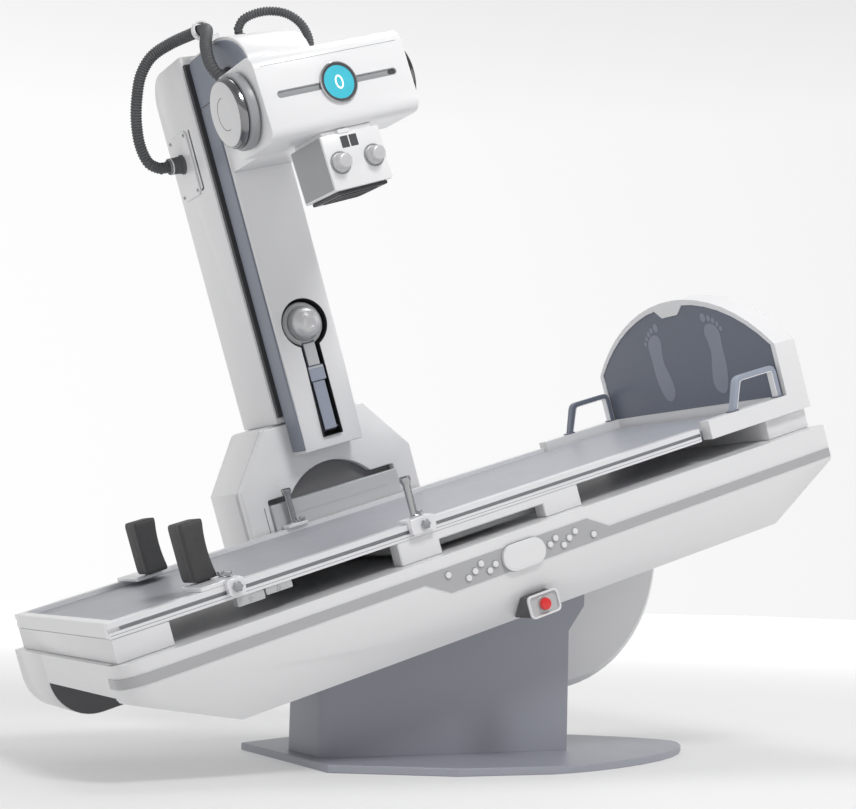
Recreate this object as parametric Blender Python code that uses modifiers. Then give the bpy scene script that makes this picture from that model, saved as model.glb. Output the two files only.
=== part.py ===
# Radiography and fluoroscopy system: a tilting table on a pedestal, with a column that carries
# an X-ray tube above the table and a detector below it. Metres, +Z up.
# The world's origin lies under the middle of the table, on the underside of the base plate.
# The table is modelled level, in table coordinates u (towards the foot end), v (away from the
# operator's side) and w (up from the table), and tilted as a whole about the pivot.

from math import atan2, ceil, cos, hypot, pi, radians, sin

import bmesh
import bpy
from mathutils import Euler, Matrix, Vector

# Fits and clearances
GAP = 0.0003
RUNNING_GAP = 0.0005

# Tilt axis and rest angle of the table, foot end up
PIVOT_X = 0.360
PIVOT_Z = 0.620
REST_TILT = radians(18.6)
PIVOT_U = 0.347
PIVOT_W = -0.096

# Base plate and pedestal
BASE_THICKNESS = 0.022
BASE_LEFT = -0.480
BASE_HALF_WIDTH = 0.512
BASE_CORNER_Y = 0.300
BASE_SHOULDER_X = -0.180
BASE_SHOULDER_Y = 0.480
BASE_BOW_X = 0.100
BASE_RIGHT = 0.915
BASE_BOW_POWER = 1.5
BASE_EDGE_BEVEL = 0.003
PEDESTAL_LEFT = -0.430
PEDESTAL_RIGHT = 0.385
PEDESTAL_FRONT = -0.160
PEDESTAL_BACK = 0.100
PEDESTAL_LEFT_TOP = 0.270
PEDESTAL_SHOULDER_LOW = 0.380
PEDESTAL_SHOULDER_HIGH = 0.455
PEDESTAL_SHOULDER_OUT = 0.055
PEDESTAL_LEFT_ROUND = 0.045
HUB_RADIUS = 0.090
SHAFT_RADIUS = 0.030

# Tilting sector and frame
SECTOR_RADIUS = 0.424
SECTOR_FRONT = -0.085
SECTOR_BACK = 0.045
SECTOR_RIM_BEVEL = 0.022
SECTOR_SLOT_CLEARANCE = 0.008
FRAME_HALF_LENGTH = 0.420
FRAME_THICKNESS = 0.030
FRAME_FRONT = -0.170
FRAME_BACK = 0.150

# Table body
BODY_HEAD = -1.165
BODY_FOOT = 1.190
BODY_FRONT = -0.485
BODY_BACK = 0.485
DECK_TOP = 0.062
DECK_THICKNESS = 0.027
FASCIA_THICKNESS = 0.022
FASCIA_TUCK = 0.085
FASCIA_END_RISE_HEAD = 0.295
FASCIA_END_RISE_FOOT = 0.210
FASCIA_BOTTOM_HEAD = -0.178
FASCIA_BOTTOM_FOOT = -0.197
FASCIA_CREASE_HEAD = -0.022
FASCIA_CREASE_LEFT = -0.050
FASCIA_CREASE_MIDDLE = -0.098
FASCIA_CREASE_RIGHT = -0.060
FASCIA_CREASE_FOOT = -0.044
FASCIA_LIP = 0.007
FASCIA_CORNER = 0.065
REAR_BEAM_INNER = 0.200
REAR_BEAM_BOTTOM = -0.148
REAR_BEAM_NOSE = 0.125
END_PLATE_THICKNESS = 0.015
END_PLATE_BOTTOM = -0.020
BODY_EDGE_BEVEL = 0.008

# Control band on the fascia
BAND_THICKNESS = 0.0025
STRIPE_HEIGHT = 0.026
BAND_TOP = 0.029
BAND_BOTTOM = -0.039
BAND_HEAD = -1.085
BAND_BULGE_HEAD = -0.245
BAND_BULGE_FOOT = 0.235
BAND_BULGE_SLOPE = 0.070
KEY_RADIUS = 0.009
KEY_HEIGHT = 0.003
KEY_PLACES = ((0.232, -0.015), (0.183, 0.012), (0.156, -0.001), (0.125, -0.014), (0.117, 0.013), (0.091, 0.0))
OVAL_HALF_LENGTH = 0.070
OVAL_HALF_HEIGHT = 0.037
OVAL_THICKNESS = 0.012

# Emergency stop
STOP_CENTRE_U = 0.016
STOP_HALF_LENGTH = 0.046
STOP_TOP = -0.122
STOP_BOTTOM = -0.180
STOP_FRONT = -0.502
STOP_BUTTON_RADIUS = 0.018
STOP_BUTTON_THICKNESS = 0.013
STOP_STEM_RADIUS = 0.011
STOP_TRAVEL = 0.004
STOP_STEM_LENGTH = 0.012

# Tabletop
TOP_HEAD = -1.150
RAIL_FOOT = 0.745
RAIL_OUTER = 0.437
RAIL_WIDTH = 0.037
RAIL_BOTTOM = 0.125
RAIL_TOP = 0.165
RAIL_GROOVE_HEIGHT = 0.010
RAIL_GROOVE_DEPTH = 0.009
PANEL_TOP = 0.152
PANEL_THICKNESS = 0.020
PANEL_BOARD_GAP = 0.013
HEAD_MEMBER_LENGTH = 0.026
SPACER_HALF_WIDTH = 0.435
HEAD_SPACER_LENGTH = 0.152
FOOT_SPACER_START = 1.007
FOOT_SPACER_END = 1.177
BRIDGE_HEAD = -0.339
BRIDGE_FOOT = 0.268
BRIDGE_LEG = 0.128
BRIDGE_DEPTH = 0.050
BRIDGE_LINTEL = 0.024

# Footboard
BOARD_FRONT = 1.098
BOARD_BACK = 1.182
BOARD_HALF_WIDTH = 0.458
BOARD_TOP = 0.552
BOARD_SHOULDER = 0.345
BOARD_RIM = 0.018
BOARD_RECESS = 0.014
BOARD_NOTCH_TOP_HALF = 0.072
BOARD_NOTCH_LOW_HALF = 0.040
BOARD_NOTCH_DEPTH = 0.034
BOARD_PANEL_THICKNESS = 0.010
BOARD_ARM_HEAD = 0.770
BOARD_ARM_WIDTH = 0.042
BOARD_ARM_TOP = 0.182
FOOT_GRIP_THICKNESS = 0.016
FOOT_GRIP_WIDTH = 0.024
FOOT_GRIP_V = 0.435
FOOT_GRIP_START = 0.882
FOOT_GRIP_LEAN = 0.038
FOOT_GRIP_END = 1.088
FOOT_GRIP_TOP = 0.284
FOOT_GRIP_CORNER = 0.030

# Column carriage behind the table
COLUMN_U = -0.050
CARRIAGE_HALF_WIDTH = 0.320
CARRIAGE_TOP_HALF_WIDTH = 0.190
CARRIAGE_TOP = 0.490
CARRIAGE_SHOULDER = 0.312
CARRIAGE_BOTTOM = -0.120
CARRIAGE_FRONT = 0.500
CARRIAGE_BACK = 0.720
CARRIAGE_EDGE_BEVEL = 0.012
COVER_FRONT = 0.456
COVER_BOTTOM = 0.075
RECESS_HALF_LENGTH = 0.235
RECESS_TOP = 0.265
RECESS_ARCH_HALF = 0.148
RECESS_ARCH_RISE = 0.070
RECESS_PANEL_DEPTH = 0.012
RECESS_CORNER = 0.006
RECESS_SLOT_HEIGHT = 0.018
COLUMN_RAIL_TOP = 0.020
COLUMN_RAIL_BOTTOM = -0.100
COLUMN_RAIL_GROOVE = 0.040
COLUMN_RAIL_GROOVE_DEPTH = 0.007
COLUMN_RAIL_HALF_LENGTH = 1.050

# Detector below the tabletop
ARM_TOP_PLATE_FRONT = 0.4415
ARM_BOTTOM = 0.078
ARM_THICKNESS = 0.030
ARM_REACH = 0.300
TRAY_FRONT = -0.360
TRAY_HALF_LENGTH = 0.225
TRAY_BOTTOM = 0.074
TRAY_TOP = 0.114

# Mast and sliding beam
MAST_HALF_WIDTH = 0.130
MAST_FRONT = 0.4710
MAST_BACK = 0.740
MAST_TOP = 1.690
MAST_TOP_ROUND = 0.090
GUIDE_THICKNESS = 0.015
GUIDE_MARGIN = 0.008
BEAM_HALF_WIDTH = 0.105
BEAM_FRONT = 0.350
BEAM_BOTTOM = 0.380
BEAM_TOP = 1.671
BEAM_TOP_ROUND = 0.030
BEAM_CREASE = 0.640
BEAM_CREASE_SET_BACK = 0.012
BEAM_EDGE_BEVEL = 0.006
SIDE_PANEL_THICKNESS = 0.006
SIDE_PANEL_SEAM = 1.510
SIDE_PANEL_MARGIN = 0.010
SIDE_COVER_THICKNESS = 0.006
SIDE_COVER_BOTTOM = 1.270
SIDE_COVER_TOP = 1.480
SIDE_COVER_FRONT = 0.560
SIDE_COVER_BACK = 0.710
SIDE_COVER_ROUND = 0.020

# Keyhole recess and compression arm
KEYHOLE_W = 0.780
KEYHOLE_RADIUS = 0.080
KEYHOLE_SLOT_HALF = 0.034
KEYHOLE_DEPTH = 0.045
KEYHOLE_BOTTOM = 0.415
COMPRESSION_HINGE_W = 0.440
HINGE_PIN_RADIUS = 0.004
COMPRESSION_ARM_HALF = 0.022
COMPRESSION_ARM_THICKNESS = 0.018
COMPRESSION_CONE_RADIUS = 0.056
COMPRESSION_TIP_RADIUS = 0.022
COMPRESSION_CONE_HEIGHT = 0.052

# Tube head and collimator
HEAD_U = -0.033
HEAD_V = -0.090
HEAD_W = 1.392
HEAD_TURN = radians(2.5)
HEAD_HALF_LENGTH = 0.244
HEAD_HALF_DEPTH = 0.130
HEAD_HALF_HEIGHT = 0.122
HEAD_CORNER = 0.040
HEAD_RING_RADIUS = 0.109
HEAD_RING_LENGTH = 0.034
HEAD_CAP_RADIUS = 0.093
HEAD_CAP_LENGTH = 0.026
HEAD_RIGHT_CAP_LENGTH = 0.034
HEAD_SLOT_HALF_LENGTH = 0.196
HEAD_SLOT_HALF_HEIGHT = 0.009
HEAD_SLOT_DEPTH = 0.005
DISPLAY_RADIUS = 0.055
DISPLAY_THICKNESS = 0.008
ARM_LOW = 1.285
ARM_BOW_START = 1.545
ARM_BOW_REACH = 0.220
COLLIMATOR_NECK_HEIGHT = 0.012
COLLIMATOR_NECK_MARGIN = 0.014
COLLIMATOR_HALF_WIDTH = 0.097
COLLIMATOR_FRONT = -0.200
COLLIMATOR_BACK = 0.005
COLLIMATOR_BOTTOM = HEAD_W - 0.292
PORT_THICKNESS = 0.010
PORT_MARGIN = 0.014
KNOB_RADIUS = 0.028
KNOB_LENGTH = 0.036
KNOB_SPACING = 0.112
KNOB_W = HEAD_W - 0.217

# Rail accessories
PAD_FRONT_U = -0.845
PAD_REAR_U = -0.775
PAD_THICKNESS = 0.050
PAD_WIDTH = 0.100
PAD_BOTTOM = 0.196
PAD_TOP = 0.336
PAD_FRONT_V = -0.300
PAD_REAR_V = 0.255
PAD_HOLLOW = 0.012
CLAMP_LENGTH = 0.110
CLAMP_PLATE_THICKNESS = 0.011
CLAMP_JAW_WIDTH = 0.020
CLAMP_JAW_BOTTOM = 0.118
GRIP_FRONT_U = -0.258
GRIP_REAR_U = -0.232
GRIP_POST_RADIUS = 0.010
GRIP_POST_TOP = 0.288
GRIP_CAP_RADIUS = 0.014
GRIP_CLAMP_LENGTH = 0.070

# Hoses
HOSE_RADIUS = 0.019
TOP_HOSE_RADIUS = 0.0145
CLIP_POINT = 11
GLAND_RADIUS = 0.026
TOP_GLAND_RADIUS = 0.021
LEFT_HOSE_ROUTE = (
    (-0.2365, 0.640, 1.385),
    (-0.252, 0.640, 1.385),
    (-0.268, 0.640, 1.386),
    (-0.302, 0.636, 1.410),
    (-0.317, 0.628, 1.470),
    (-0.311, 0.618, 1.545),
    (-0.293, 0.605, 1.615),
    (-0.268, 0.585, 1.678),
    (-0.228, 0.555, 1.724),
    (-0.180, 0.500, 1.742),
    (-0.138, 0.430, 1.744),
    (-0.122, 0.375, 1.739),
    (-0.132, 0.315, 1.724),
    (-0.162, 0.262, 1.694),
    (-0.192, 0.222, 1.655),
    (-0.208, 0.196, 1.612),
    (-0.210, 0.182, 1.578),
    (-0.197, 0.180, 1.552),
    (-0.180, 0.180, 1.547),
    (-0.1616, 0.180, 1.547),
)
TOP_HOSE_ROUTE = (
    (-0.040, 0.290, 1.6893),
    (-0.040, 0.290, 1.698),
    (-0.038, 0.289, 1.708),
    (-0.018, 0.280, 1.731),
    (0.018, 0.262, 1.740),
    (0.058, 0.240, 1.736),
    (0.098, 0.218, 1.717),
    (0.126, 0.200, 1.682),
    (0.136, 0.188, 1.640),
    (0.130, 0.180, 1.598),
    (0.108, 0.176, 1.564),
    (0.088, 0.175, 1.553),
    (0.072, 0.175, 1.551),
    (0.0553, 0.175, 1.551),
)

COLOURS = {
    "white_shell": ((0.84, 0.84, 0.85), 0.35, 0.0),
    "light_grey": ((0.52, 0.53, 0.54), 0.4, 0.0),
    "slate": ((0.12, 0.14, 0.18), 0.45, 0.0),
    "pedestal_grey": ((0.20, 0.21, 0.27), 0.45, 0.0),
    "tabletop_grey": ((0.49, 0.50, 0.54), 0.5, 0.0),
    "dark_grey": ((0.06, 0.06, 0.07), 0.5, 0.0),
    "aluminium": ((0.75, 0.76, 0.78), 0.3, 1.0),
    "chrome": ((0.80, 0.80, 0.82), 0.12, 1.0),
    "steel": ((0.45, 0.46, 0.48), 0.35, 1.0),
    "rubber": ((0.05, 0.05, 0.055), 0.7, 0.0),
    "red": ((0.75, 0.02, 0.02), 0.35, 0.0),
    "teal": ((0.05, 0.50, 0.63), 0.2, 0.0),
}


def clear_scene():
    for old in list(bpy.data.objects):
        bpy.data.objects.remove(old, do_unlink=True)


def make_collection(name):
    collection = bpy.data.collections.new(name)
    bpy.context.scene.collection.children.link(collection)
    return collection


def make_material(name):
    colour, roughness, metallic = COLOURS[name]
    material = bpy.data.materials.new(name)
    material.use_nodes = True
    shader = material.node_tree.nodes["Principled BSDF"]
    shader.inputs["Base Color"].default_value = (*colour, 1.0)
    shader.inputs["Roughness"].default_value = roughness
    shader.inputs["Metallic"].default_value = metallic
    return material


clear_scene()
PARTS = make_collection("radiography_fluoroscopy_system")
CUTTERS = make_collection("cutters")
MATERIALS = {name: make_material(name) for name in COLOURS}


def make_empty(name, location, rotation, parent):
    empty = bpy.data.objects.new(name, None)
    empty.location = location
    empty.rotation_euler = Euler(rotation)
    empty.parent = parent
    PARTS.objects.link(empty)
    return empty


WORLD = make_empty("floor_origin", (0, 0, 0), (0, 0, 0), None)
TILT_AXIS = make_empty("tilt_axis", (PIVOT_X, 0, PIVOT_Z), (0, -REST_TILT, 0), WORLD)
TABLE = make_empty("table_frame", (-PIVOT_U, 0, -PIVOT_W), (0, 0, 0), TILT_AXIS)
HEAD_AXIS = make_empty("head_axis", (HEAD_U, HEAD_V, HEAD_W), (0, -HEAD_TURN, 0), TABLE)
HEAD = make_empty("head_frame", (-HEAD_U, -HEAD_V, -HEAD_W), (0, 0, 0), HEAD_AXIS)


def add_part(name, mesh, material, parent, smooth_angle=35.0):
    part = bpy.data.objects.new(name, mesh)
    part.data.materials.append(MATERIALS[material])
    part.parent = parent
    PARTS.objects.link(part)
    mesh.shade_smooth()
    mesh.set_sharp_from_angle(angle=radians(smooth_angle))
    return part


def closed_mesh(name, maker, place=None):
    """A mesh from a bmesh primitive, moved by a matrix."""
    builder = bmesh.new()
    maker(builder)
    if place is not None:
        bmesh.ops.transform(builder, matrix=place, verts=builder.verts)
    bmesh.ops.recalc_face_normals(builder, faces=builder.faces)
    mesh = bpy.data.meshes.new(name)
    builder.to_mesh(mesh)
    builder.free()
    return mesh


def box_mesh(name, low, high):
    size = [b - a for a, b in zip(low, high)]
    middle = [(a + b) / 2 for a, b in zip(low, high)]
    place = Matrix.Translation(middle) @ Matrix.Diagonal((*size, 1.0))
    return closed_mesh(name, lambda builder: bmesh.ops.create_cube(builder, size=1.0), place)


AXIS_TURNS = {
    "u": Matrix.Rotation(pi / 2, 4, "Y"),
    "v": Matrix.Rotation(-pi / 2, 4, "X"),
    "w": Matrix.Identity(4),
}


def cylinder_mesh(name, axis, start, end, centre, radius, end_radius=None, segments=36):
    """A cylinder or cone along u, v or w, from start to end; centre gives the other two."""
    far = radius if end_radius is None else end_radius
    middle = (start + end) / 2
    spot = {"u": (middle, *centre), "v": (centre[0], middle, centre[1]), "w": (*centre, middle)}[axis]
    place = Matrix.Translation(spot) @ AXIS_TURNS[axis]
    return closed_mesh(name, lambda builder: bmesh.ops.create_cone(
        builder, cap_ends=True, segments=segments, radius1=radius, radius2=far,
        depth=abs(end - start)), place)


def curve_mesh(name, curve):
    """The closed mesh of a filled or bevelled curve, with its caps welded."""
    holder = bpy.data.objects.new(name + "_curve", curve)
    bpy.context.scene.collection.objects.link(holder)
    shape = holder.evaluated_get(bpy.context.evaluated_depsgraph_get())
    mesh = bpy.data.meshes.new_from_object(shape)
    bpy.data.objects.remove(holder)
    bpy.data.curves.remove(curve)
    builder = bmesh.new()
    builder.from_mesh(mesh)
    bmesh.ops.remove_doubles(builder, verts=builder.verts, dist=0.00002)
    bmesh.ops.recalc_face_normals(builder, faces=builder.faces)
    builder.to_mesh(mesh)
    builder.free()
    mesh.name = name
    mesh.materials.clear()
    return mesh


PLANES = {
    "uw": Matrix(((1, 0, 0, 0), (0, 0, 1, 0), (0, 1, 0, 0), (0, 0, 0, 1))),
    "vw": Matrix(((0, 0, 1, 0), (1, 0, 0, 0), (0, 1, 0, 0), (0, 0, 0, 1))),
    "uv": Matrix.Identity(4),
}


def plate_mesh(name, plane, outline, start, end, holes=()):
    """A flat outline in the uw, vw or uv plane, extruded from start to end across it."""
    curve = bpy.data.curves.new(name, "CURVE")
    curve.dimensions = "2D"
    curve.fill_mode = "BOTH"
    curve.extrude = abs(end - start) / 2
    for points in (outline, *holes):
        spline = curve.splines.new("POLY")
        spline.points.add(len(points) - 1)
        for spot, (a, b) in zip(spline.points, points):
            spot.co = (a, b, 0.0, 1.0)
        spline.use_cyclic_u = True
    mesh = curve_mesh(name, curve)
    mesh.transform(PLANES[plane] @ Matrix.Translation((0, 0, (start + end) / 2)))
    builder = bmesh.new()
    builder.from_mesh(mesh)
    bmesh.ops.recalc_face_normals(builder, faces=builder.faces)
    builder.to_mesh(mesh)
    builder.free()
    return mesh


def tube_mesh(name, route, radius, sides=2):
    curve = bpy.data.curves.new(name, "CURVE")
    curve.dimensions = "3D"
    curve.bevel_depth = radius
    curve.bevel_resolution = sides
    curve.use_fill_caps = True
    spline = curve.splines.new("POLY")
    spline.points.add(len(route) - 1)
    for spot, place in zip(spline.points, route):
        spot.co = (*place, 1.0)
    return curve_mesh(name, curve)


def loft_mesh(name, sections):
    """A closed skin through sections that have the same number of points each."""
    def build(builder):
        rings = [[builder.verts.new(spot) for spot in section] for section in sections]
        count = len(sections[0])
        for ring, following in zip(rings, rings[1:]):
            for k in range(count):
                after = (k + 1) % count
                builder.faces.new((ring[k], ring[after], following[after], following[k]))
        builder.faces.new(rings[0])
        builder.faces.new(reversed(rings[-1]))
    return closed_mesh(name, build)


def arc(centre, radius, start, end, step=7.5):
    """Points on an arc; angles in degrees, both ends included."""
    count = max(1, ceil(abs(end - start) / step))
    angles = [radians(start + (end - start) * k / count) for k in range(count + 1)]
    return [(centre[0] + radius * cos(a), centre[1] + radius * sin(a)) for a in angles]


def rounded_box_outline(low, high, radius, step=15.0):
    (a0, b0), (a1, b1) = low, high
    corners = (((a1 - radius, b0 + radius), -90), ((a1 - radius, b1 - radius), 0),
               ((a0 + radius, b1 - radius), 90), ((a0 + radius, b0 + radius), 180))
    points = []
    for centre, start in corners:
        points += arc(centre, radius, start, start + 90, step)
    return points


def bevel(part, width, segments=2, angle=40.0):
    modifier = part.modifiers.new("edge_bevel", "BEVEL")
    modifier.width = width
    modifier.segments = segments
    modifier.limit_method = "ANGLE"
    modifier.angle_limit = radians(angle)
    modifier.use_clamp_overlap = True
    modifier.harden_normals = False
    return part


def add_cutter(name, mesh, parent):
    cutter = bpy.data.objects.new(name, mesh)
    cutter.parent = parent
    cutter.hide_render = True
    cutter.display_type = "WIRE"
    CUTTERS.objects.link(cutter)
    return cutter


def combine(part, other, operation):
    modifier = part.modifiers.new(operation.lower() + "_" + other.name, "BOOLEAN")
    modifier.operation = operation
    modifier.solver = "EXACT"
    modifier.object = other
    return part


def cut(part, mesh):
    return combine(part, add_cutter(part.name + "_cut", mesh, part.parent), "DIFFERENCE")


def join(part, mesh):
    return combine(part, add_cutter(part.name + "_join", mesh, part.parent), "UNION")


def smooth_route(points, spacing):
    """Evenly spaced points on a smooth curve through the route, with its first and last stretch straight."""
    dense = []
    for k in range(1, len(points) - 2):
        before, a, b, after = (Vector(points[j]) for j in (k - 1, k, k + 1, k + 2))
        for n in range(12):
            t = n / 12
            dense.append(0.5 * (2 * a + (b - before) * t + (2 * before - 5 * a + 4 * b - after) * t * t
                                + (3 * a - before - 3 * b + after) * t ** 3))
    dense.append(Vector(points[-2]))
    lengths = [(q - p).length for p, q in zip(dense, dense[1:])]
    total = sum(lengths)
    count = ceil(total / spacing)
    route = [dense[0]]
    walked = 0.0
    target = total / count
    for length, start, end in zip(lengths, dense, dense[1:]):
        while walked + length >= target and len(route) < count:
            route.append(start.lerp(end, (target - walked) / length))
            target += total / count
        walked += length
    return [Vector(points[0]), *route, dense[-1], Vector(points[-1])]


# Base

def base_plate():
    """A flat plate with two cut corners at the head end and a bow towards the foot end."""
    outline = [(BASE_LEFT, -BASE_CORNER_Y), (BASE_SHOULDER_X, -BASE_SHOULDER_Y)]
    steps = 20
    length = BASE_RIGHT - BASE_BOW_X
    for k in range(steps + 1):
        turn = -pi / 2 + pi * k / steps
        reach = cos(turn) ** (2 / BASE_BOW_POWER) if abs(turn) < pi / 2 - 0.001 else 0.0
        width = abs(sin(turn)) ** (2 / BASE_BOW_POWER) * (1 if turn > 0 else -1)
        outline.append((BASE_BOW_X + length * reach, BASE_HALF_WIDTH * width))
    outline += [(BASE_SHOULDER_X, BASE_SHOULDER_Y), (BASE_LEFT, BASE_CORNER_Y)]
    mesh = plate_mesh("base_plate", "uv", outline, 0.0, BASE_THICKNESS)
    return bevel(add_part("base_plate", mesh, "pedestal_grey", WORLD), BASE_EDGE_BEVEL, 1)


def pedestal():
    """The upright box that the sector runs in; its left edges are rounded."""
    foot = BASE_THICKNESS + GAP
    shoulder = PEDESTAL_RIGHT + PEDESTAL_SHOULDER_OUT
    outline = [
        (PEDESTAL_LEFT, foot),
        (PEDESTAL_RIGHT, foot),
        (PEDESTAL_RIGHT, PEDESTAL_SHOULDER_LOW),
        (shoulder, PEDESTAL_SHOULDER_HIGH),
    ]
    outline += arc((PIVOT_X, PIVOT_Z), HUB_RADIUS, -20, 130)
    outline.append((PEDESTAL_LEFT, PEDESTAL_LEFT_TOP))
    mesh = plate_mesh("pedestal", "uw", outline, PEDESTAL_FRONT, PEDESTAL_BACK)
    part = add_part("pedestal", mesh, "pedestal_grey", WORLD)
    left = PEDESTAL_LEFT + PEDESTAL_LEFT_ROUND
    plan = arc((left, PEDESTAL_FRONT + PEDESTAL_LEFT_ROUND), PEDESTAL_LEFT_ROUND, 180, 270, 15.0)
    plan += [(shoulder + 0.1, PEDESTAL_FRONT), (shoulder + 0.1, PEDESTAL_BACK)]
    plan += arc((left, PEDESTAL_BACK - PEDESTAL_LEFT_ROUND), PEDESTAL_LEFT_ROUND, 90, 180, 15.0)
    rounding = plate_mesh("pedestal_plan", "uv", plan, foot - 0.1, PIVOT_Z + HUB_RADIUS + 0.1)
    combine(part, add_cutter("pedestal_plan", rounding, WORLD), "INTERSECT")
    swing = SECTOR_RADIUS + SECTOR_SLOT_CLEARANCE
    cut(part, cylinder_mesh("sector_slot", "v", SECTOR_FRONT - SECTOR_SLOT_CLEARANCE,
                            SECTOR_BACK + SECTOR_SLOT_CLEARANCE, (PIVOT_X, PIVOT_Z), swing, segments=64))
    cut(part, cylinder_mesh("shaft_bore", "v", PEDESTAL_FRONT - 0.01, PEDESTAL_BACK + 0.01,
                            (PIVOT_X, PIVOT_Z), SHAFT_RADIUS + RUNNING_GAP, segments=40))
    return part


def tilt_shaft():
    mesh = cylinder_mesh("tilt_shaft", "v", PEDESTAL_FRONT, PEDESTAL_BACK, (PIVOT_X, PIVOT_Z),
                         SHAFT_RADIUS, segments=40)
    return add_part("tilt_shaft", mesh, "steel", WORLD)


# Tilting frame

def tilt_sector():
    top = DECK_TOP - DECK_THICKNESS - GAP - FRAME_THICKNESS - GAP - PIVOT_W
    reach = atan2(top, (SECTOR_RADIUS ** 2 - top ** 2) ** 0.5) * 180 / pi
    outline = arc((0, 0), SECTOR_RADIUS, -180 - reach, reach, 5.0)
    bore = arc((0, 0), SHAFT_RADIUS + RUNNING_GAP, 0, 351, 9.0)
    mesh = plate_mesh("tilt_sector", "uw", outline, SECTOR_FRONT, SECTOR_BACK, [bore])
    part = add_part("tilt_sector", mesh, "white_shell", TILT_AXIS)
    inner = SECTOR_RADIUS - SECTOR_RIM_BEVEL
    rim = cylinder_mesh("rim", "v", SECTOR_FRONT - SECTOR_RIM_BEVEL, SECTOR_BACK + 0.010, (0, 0),
                        inner - SECTOR_RIM_BEVEL, inner + (SECTOR_BACK - SECTOR_FRONT) + 0.010, segments=72)
    return combine(part, add_cutter("sector_rim", rim, TILT_AXIS), "INTERSECT")


def tilt_frame():
    top = DECK_TOP - DECK_THICKNESS - GAP
    mesh = box_mesh("tilt_frame", (PIVOT_U - FRAME_HALF_LENGTH, FRAME_FRONT, top - FRAME_THICKNESS),
                    (PIVOT_U + FRAME_HALF_LENGTH, FRAME_BACK, top))
    return bevel(add_part("tilt_frame", mesh, "steel", TABLE), 0.004, 1)


# Table body

def fascia_section(u, crease, bottom, tuck, set_back=0.0):
    front = BODY_FRONT + set_back
    wall = FASCIA_THICKNESS
    return [
        (u, front, DECK_TOP),
        (u, front, crease),
        (u, front + tuck, bottom),
        (u, front + tuck + wall / 2, bottom + FASCIA_LIP),
        (u, front + wall, crease - FASCIA_LIP / 2),
        (u, front + wall, DECK_TOP),
    ]


def corner_set_back(depth):
    """How far the fascia's rounded head-end corner has turned away, at a depth from the end."""
    if depth >= FASCIA_CORNER:
        return 0.0
    return FASCIA_CORNER - (FASCIA_CORNER ** 2 - (FASCIA_CORNER - depth) ** 2) ** 0.5


def front_fascia():
    """The front wall: upright above its crease, tucked in below; round the corner at the head end."""
    foot_corner = BODY_FOOT - FASCIA_END_RISE_FOOT
    end_drop = 0.008
    end_tuck = 0.006
    middle_bottom = (FASCIA_BOTTOM_HEAD + FASCIA_BOTTOM_FOOT) / 2
    sections = []
    for share in (0.0, 0.08, 0.25, 0.55, 1.0, FASCIA_END_RISE_HEAD / FASCIA_CORNER):
        depth = share * FASCIA_CORNER
        rise = depth / FASCIA_END_RISE_HEAD
        start = FASCIA_CREASE_HEAD - end_drop
        sections.append(fascia_section(
            BODY_HEAD + depth, FASCIA_CREASE_HEAD + (FASCIA_CREASE_LEFT - FASCIA_CREASE_HEAD) * rise,
            start + (FASCIA_BOTTOM_HEAD - start) * rise, end_tuck + (FASCIA_TUCK - end_tuck) * rise,
            corner_set_back(depth)))
    sections += [
        fascia_section(0.0, FASCIA_CREASE_MIDDLE, middle_bottom, FASCIA_TUCK),
        fascia_section(foot_corner, FASCIA_CREASE_RIGHT, FASCIA_BOTTOM_FOOT, FASCIA_TUCK),
        fascia_section(BODY_FOOT, FASCIA_CREASE_FOOT, FASCIA_CREASE_FOOT - end_drop, end_tuck),
    ]
    return add_part("front_fascia", loft_mesh("front_fascia", sections), "white_shell", TABLE, 18.0)


def band_outline():
    left_low = BAND_TOP - STRIPE_HEIGHT
    right_high = BAND_BOTTOM + STRIPE_HEIGHT
    foot = BODY_FOOT - 0.004
    return [
        (BAND_HEAD, left_low),
        (BAND_BULGE_HEAD - BAND_BULGE_SLOPE, left_low),
        (BAND_BULGE_HEAD, BAND_BOTTOM),
        (foot, BAND_BOTTOM),
        (foot, right_high),
        (BAND_BULGE_FOOT + BAND_BULGE_SLOPE, right_high),
        (BAND_BULGE_FOOT, BAND_TOP),
        (BAND_HEAD - 0.015, BAND_TOP),
    ]


def control_band():
    face = BODY_FRONT - GAP
    mesh = plate_mesh("control_band", "uw", band_outline(), face - BAND_THICKNESS, face)
    return add_part("control_band", mesh, "light_grey", TABLE)


def keypad(name, side):
    """Six domed membrane keys that share one sheet, on the control band."""
    face = BODY_FRONT - GAP - BAND_THICKNESS - GAP
    middle = (BAND_TOP + BAND_BOTTOM) / 2
    sheet = 0.0008
    spots = [(side * u, middle - side * w) for u, w in KEY_PLACES]
    margin = KEY_RADIUS + 0.002
    low = (min(u for u, _ in spots) - margin, min(w for _, w in spots) - margin)
    high = (max(u for u, _ in spots) + margin, max(w for _, w in spots) + margin)
    outline = rounded_box_outline(low, high, KEY_RADIUS, 30.0)
    part = add_part(name, plate_mesh(name, "uw", outline, face - sheet, face), "light_grey", TABLE)
    for u, w in spots:
        join(part, cylinder_mesh("key", "v", face - sheet - KEY_HEIGHT, face - sheet / 2, (u, w),
                                 KEY_RADIUS * 0.8, KEY_RADIUS, segments=16))
    return part


def oval_cover():
    middle = (BAND_TOP + BAND_BOTTOM) / 2
    straight = OVAL_HALF_LENGTH - OVAL_HALF_HEIGHT
    outline = arc((straight, middle), OVAL_HALF_HEIGHT, -90, 90, 10.0)
    outline += arc((-straight, middle), OVAL_HALF_HEIGHT, 90, 270, 10.0)
    face = BODY_FRONT - GAP - BAND_THICKNESS - GAP
    mesh = plate_mesh("oval_cover", "uw", outline, face - OVAL_THICKNESS, face)
    return bevel(add_part("oval_cover", mesh, "white_shell", TABLE), 0.004, 2, 60.0)


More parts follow.
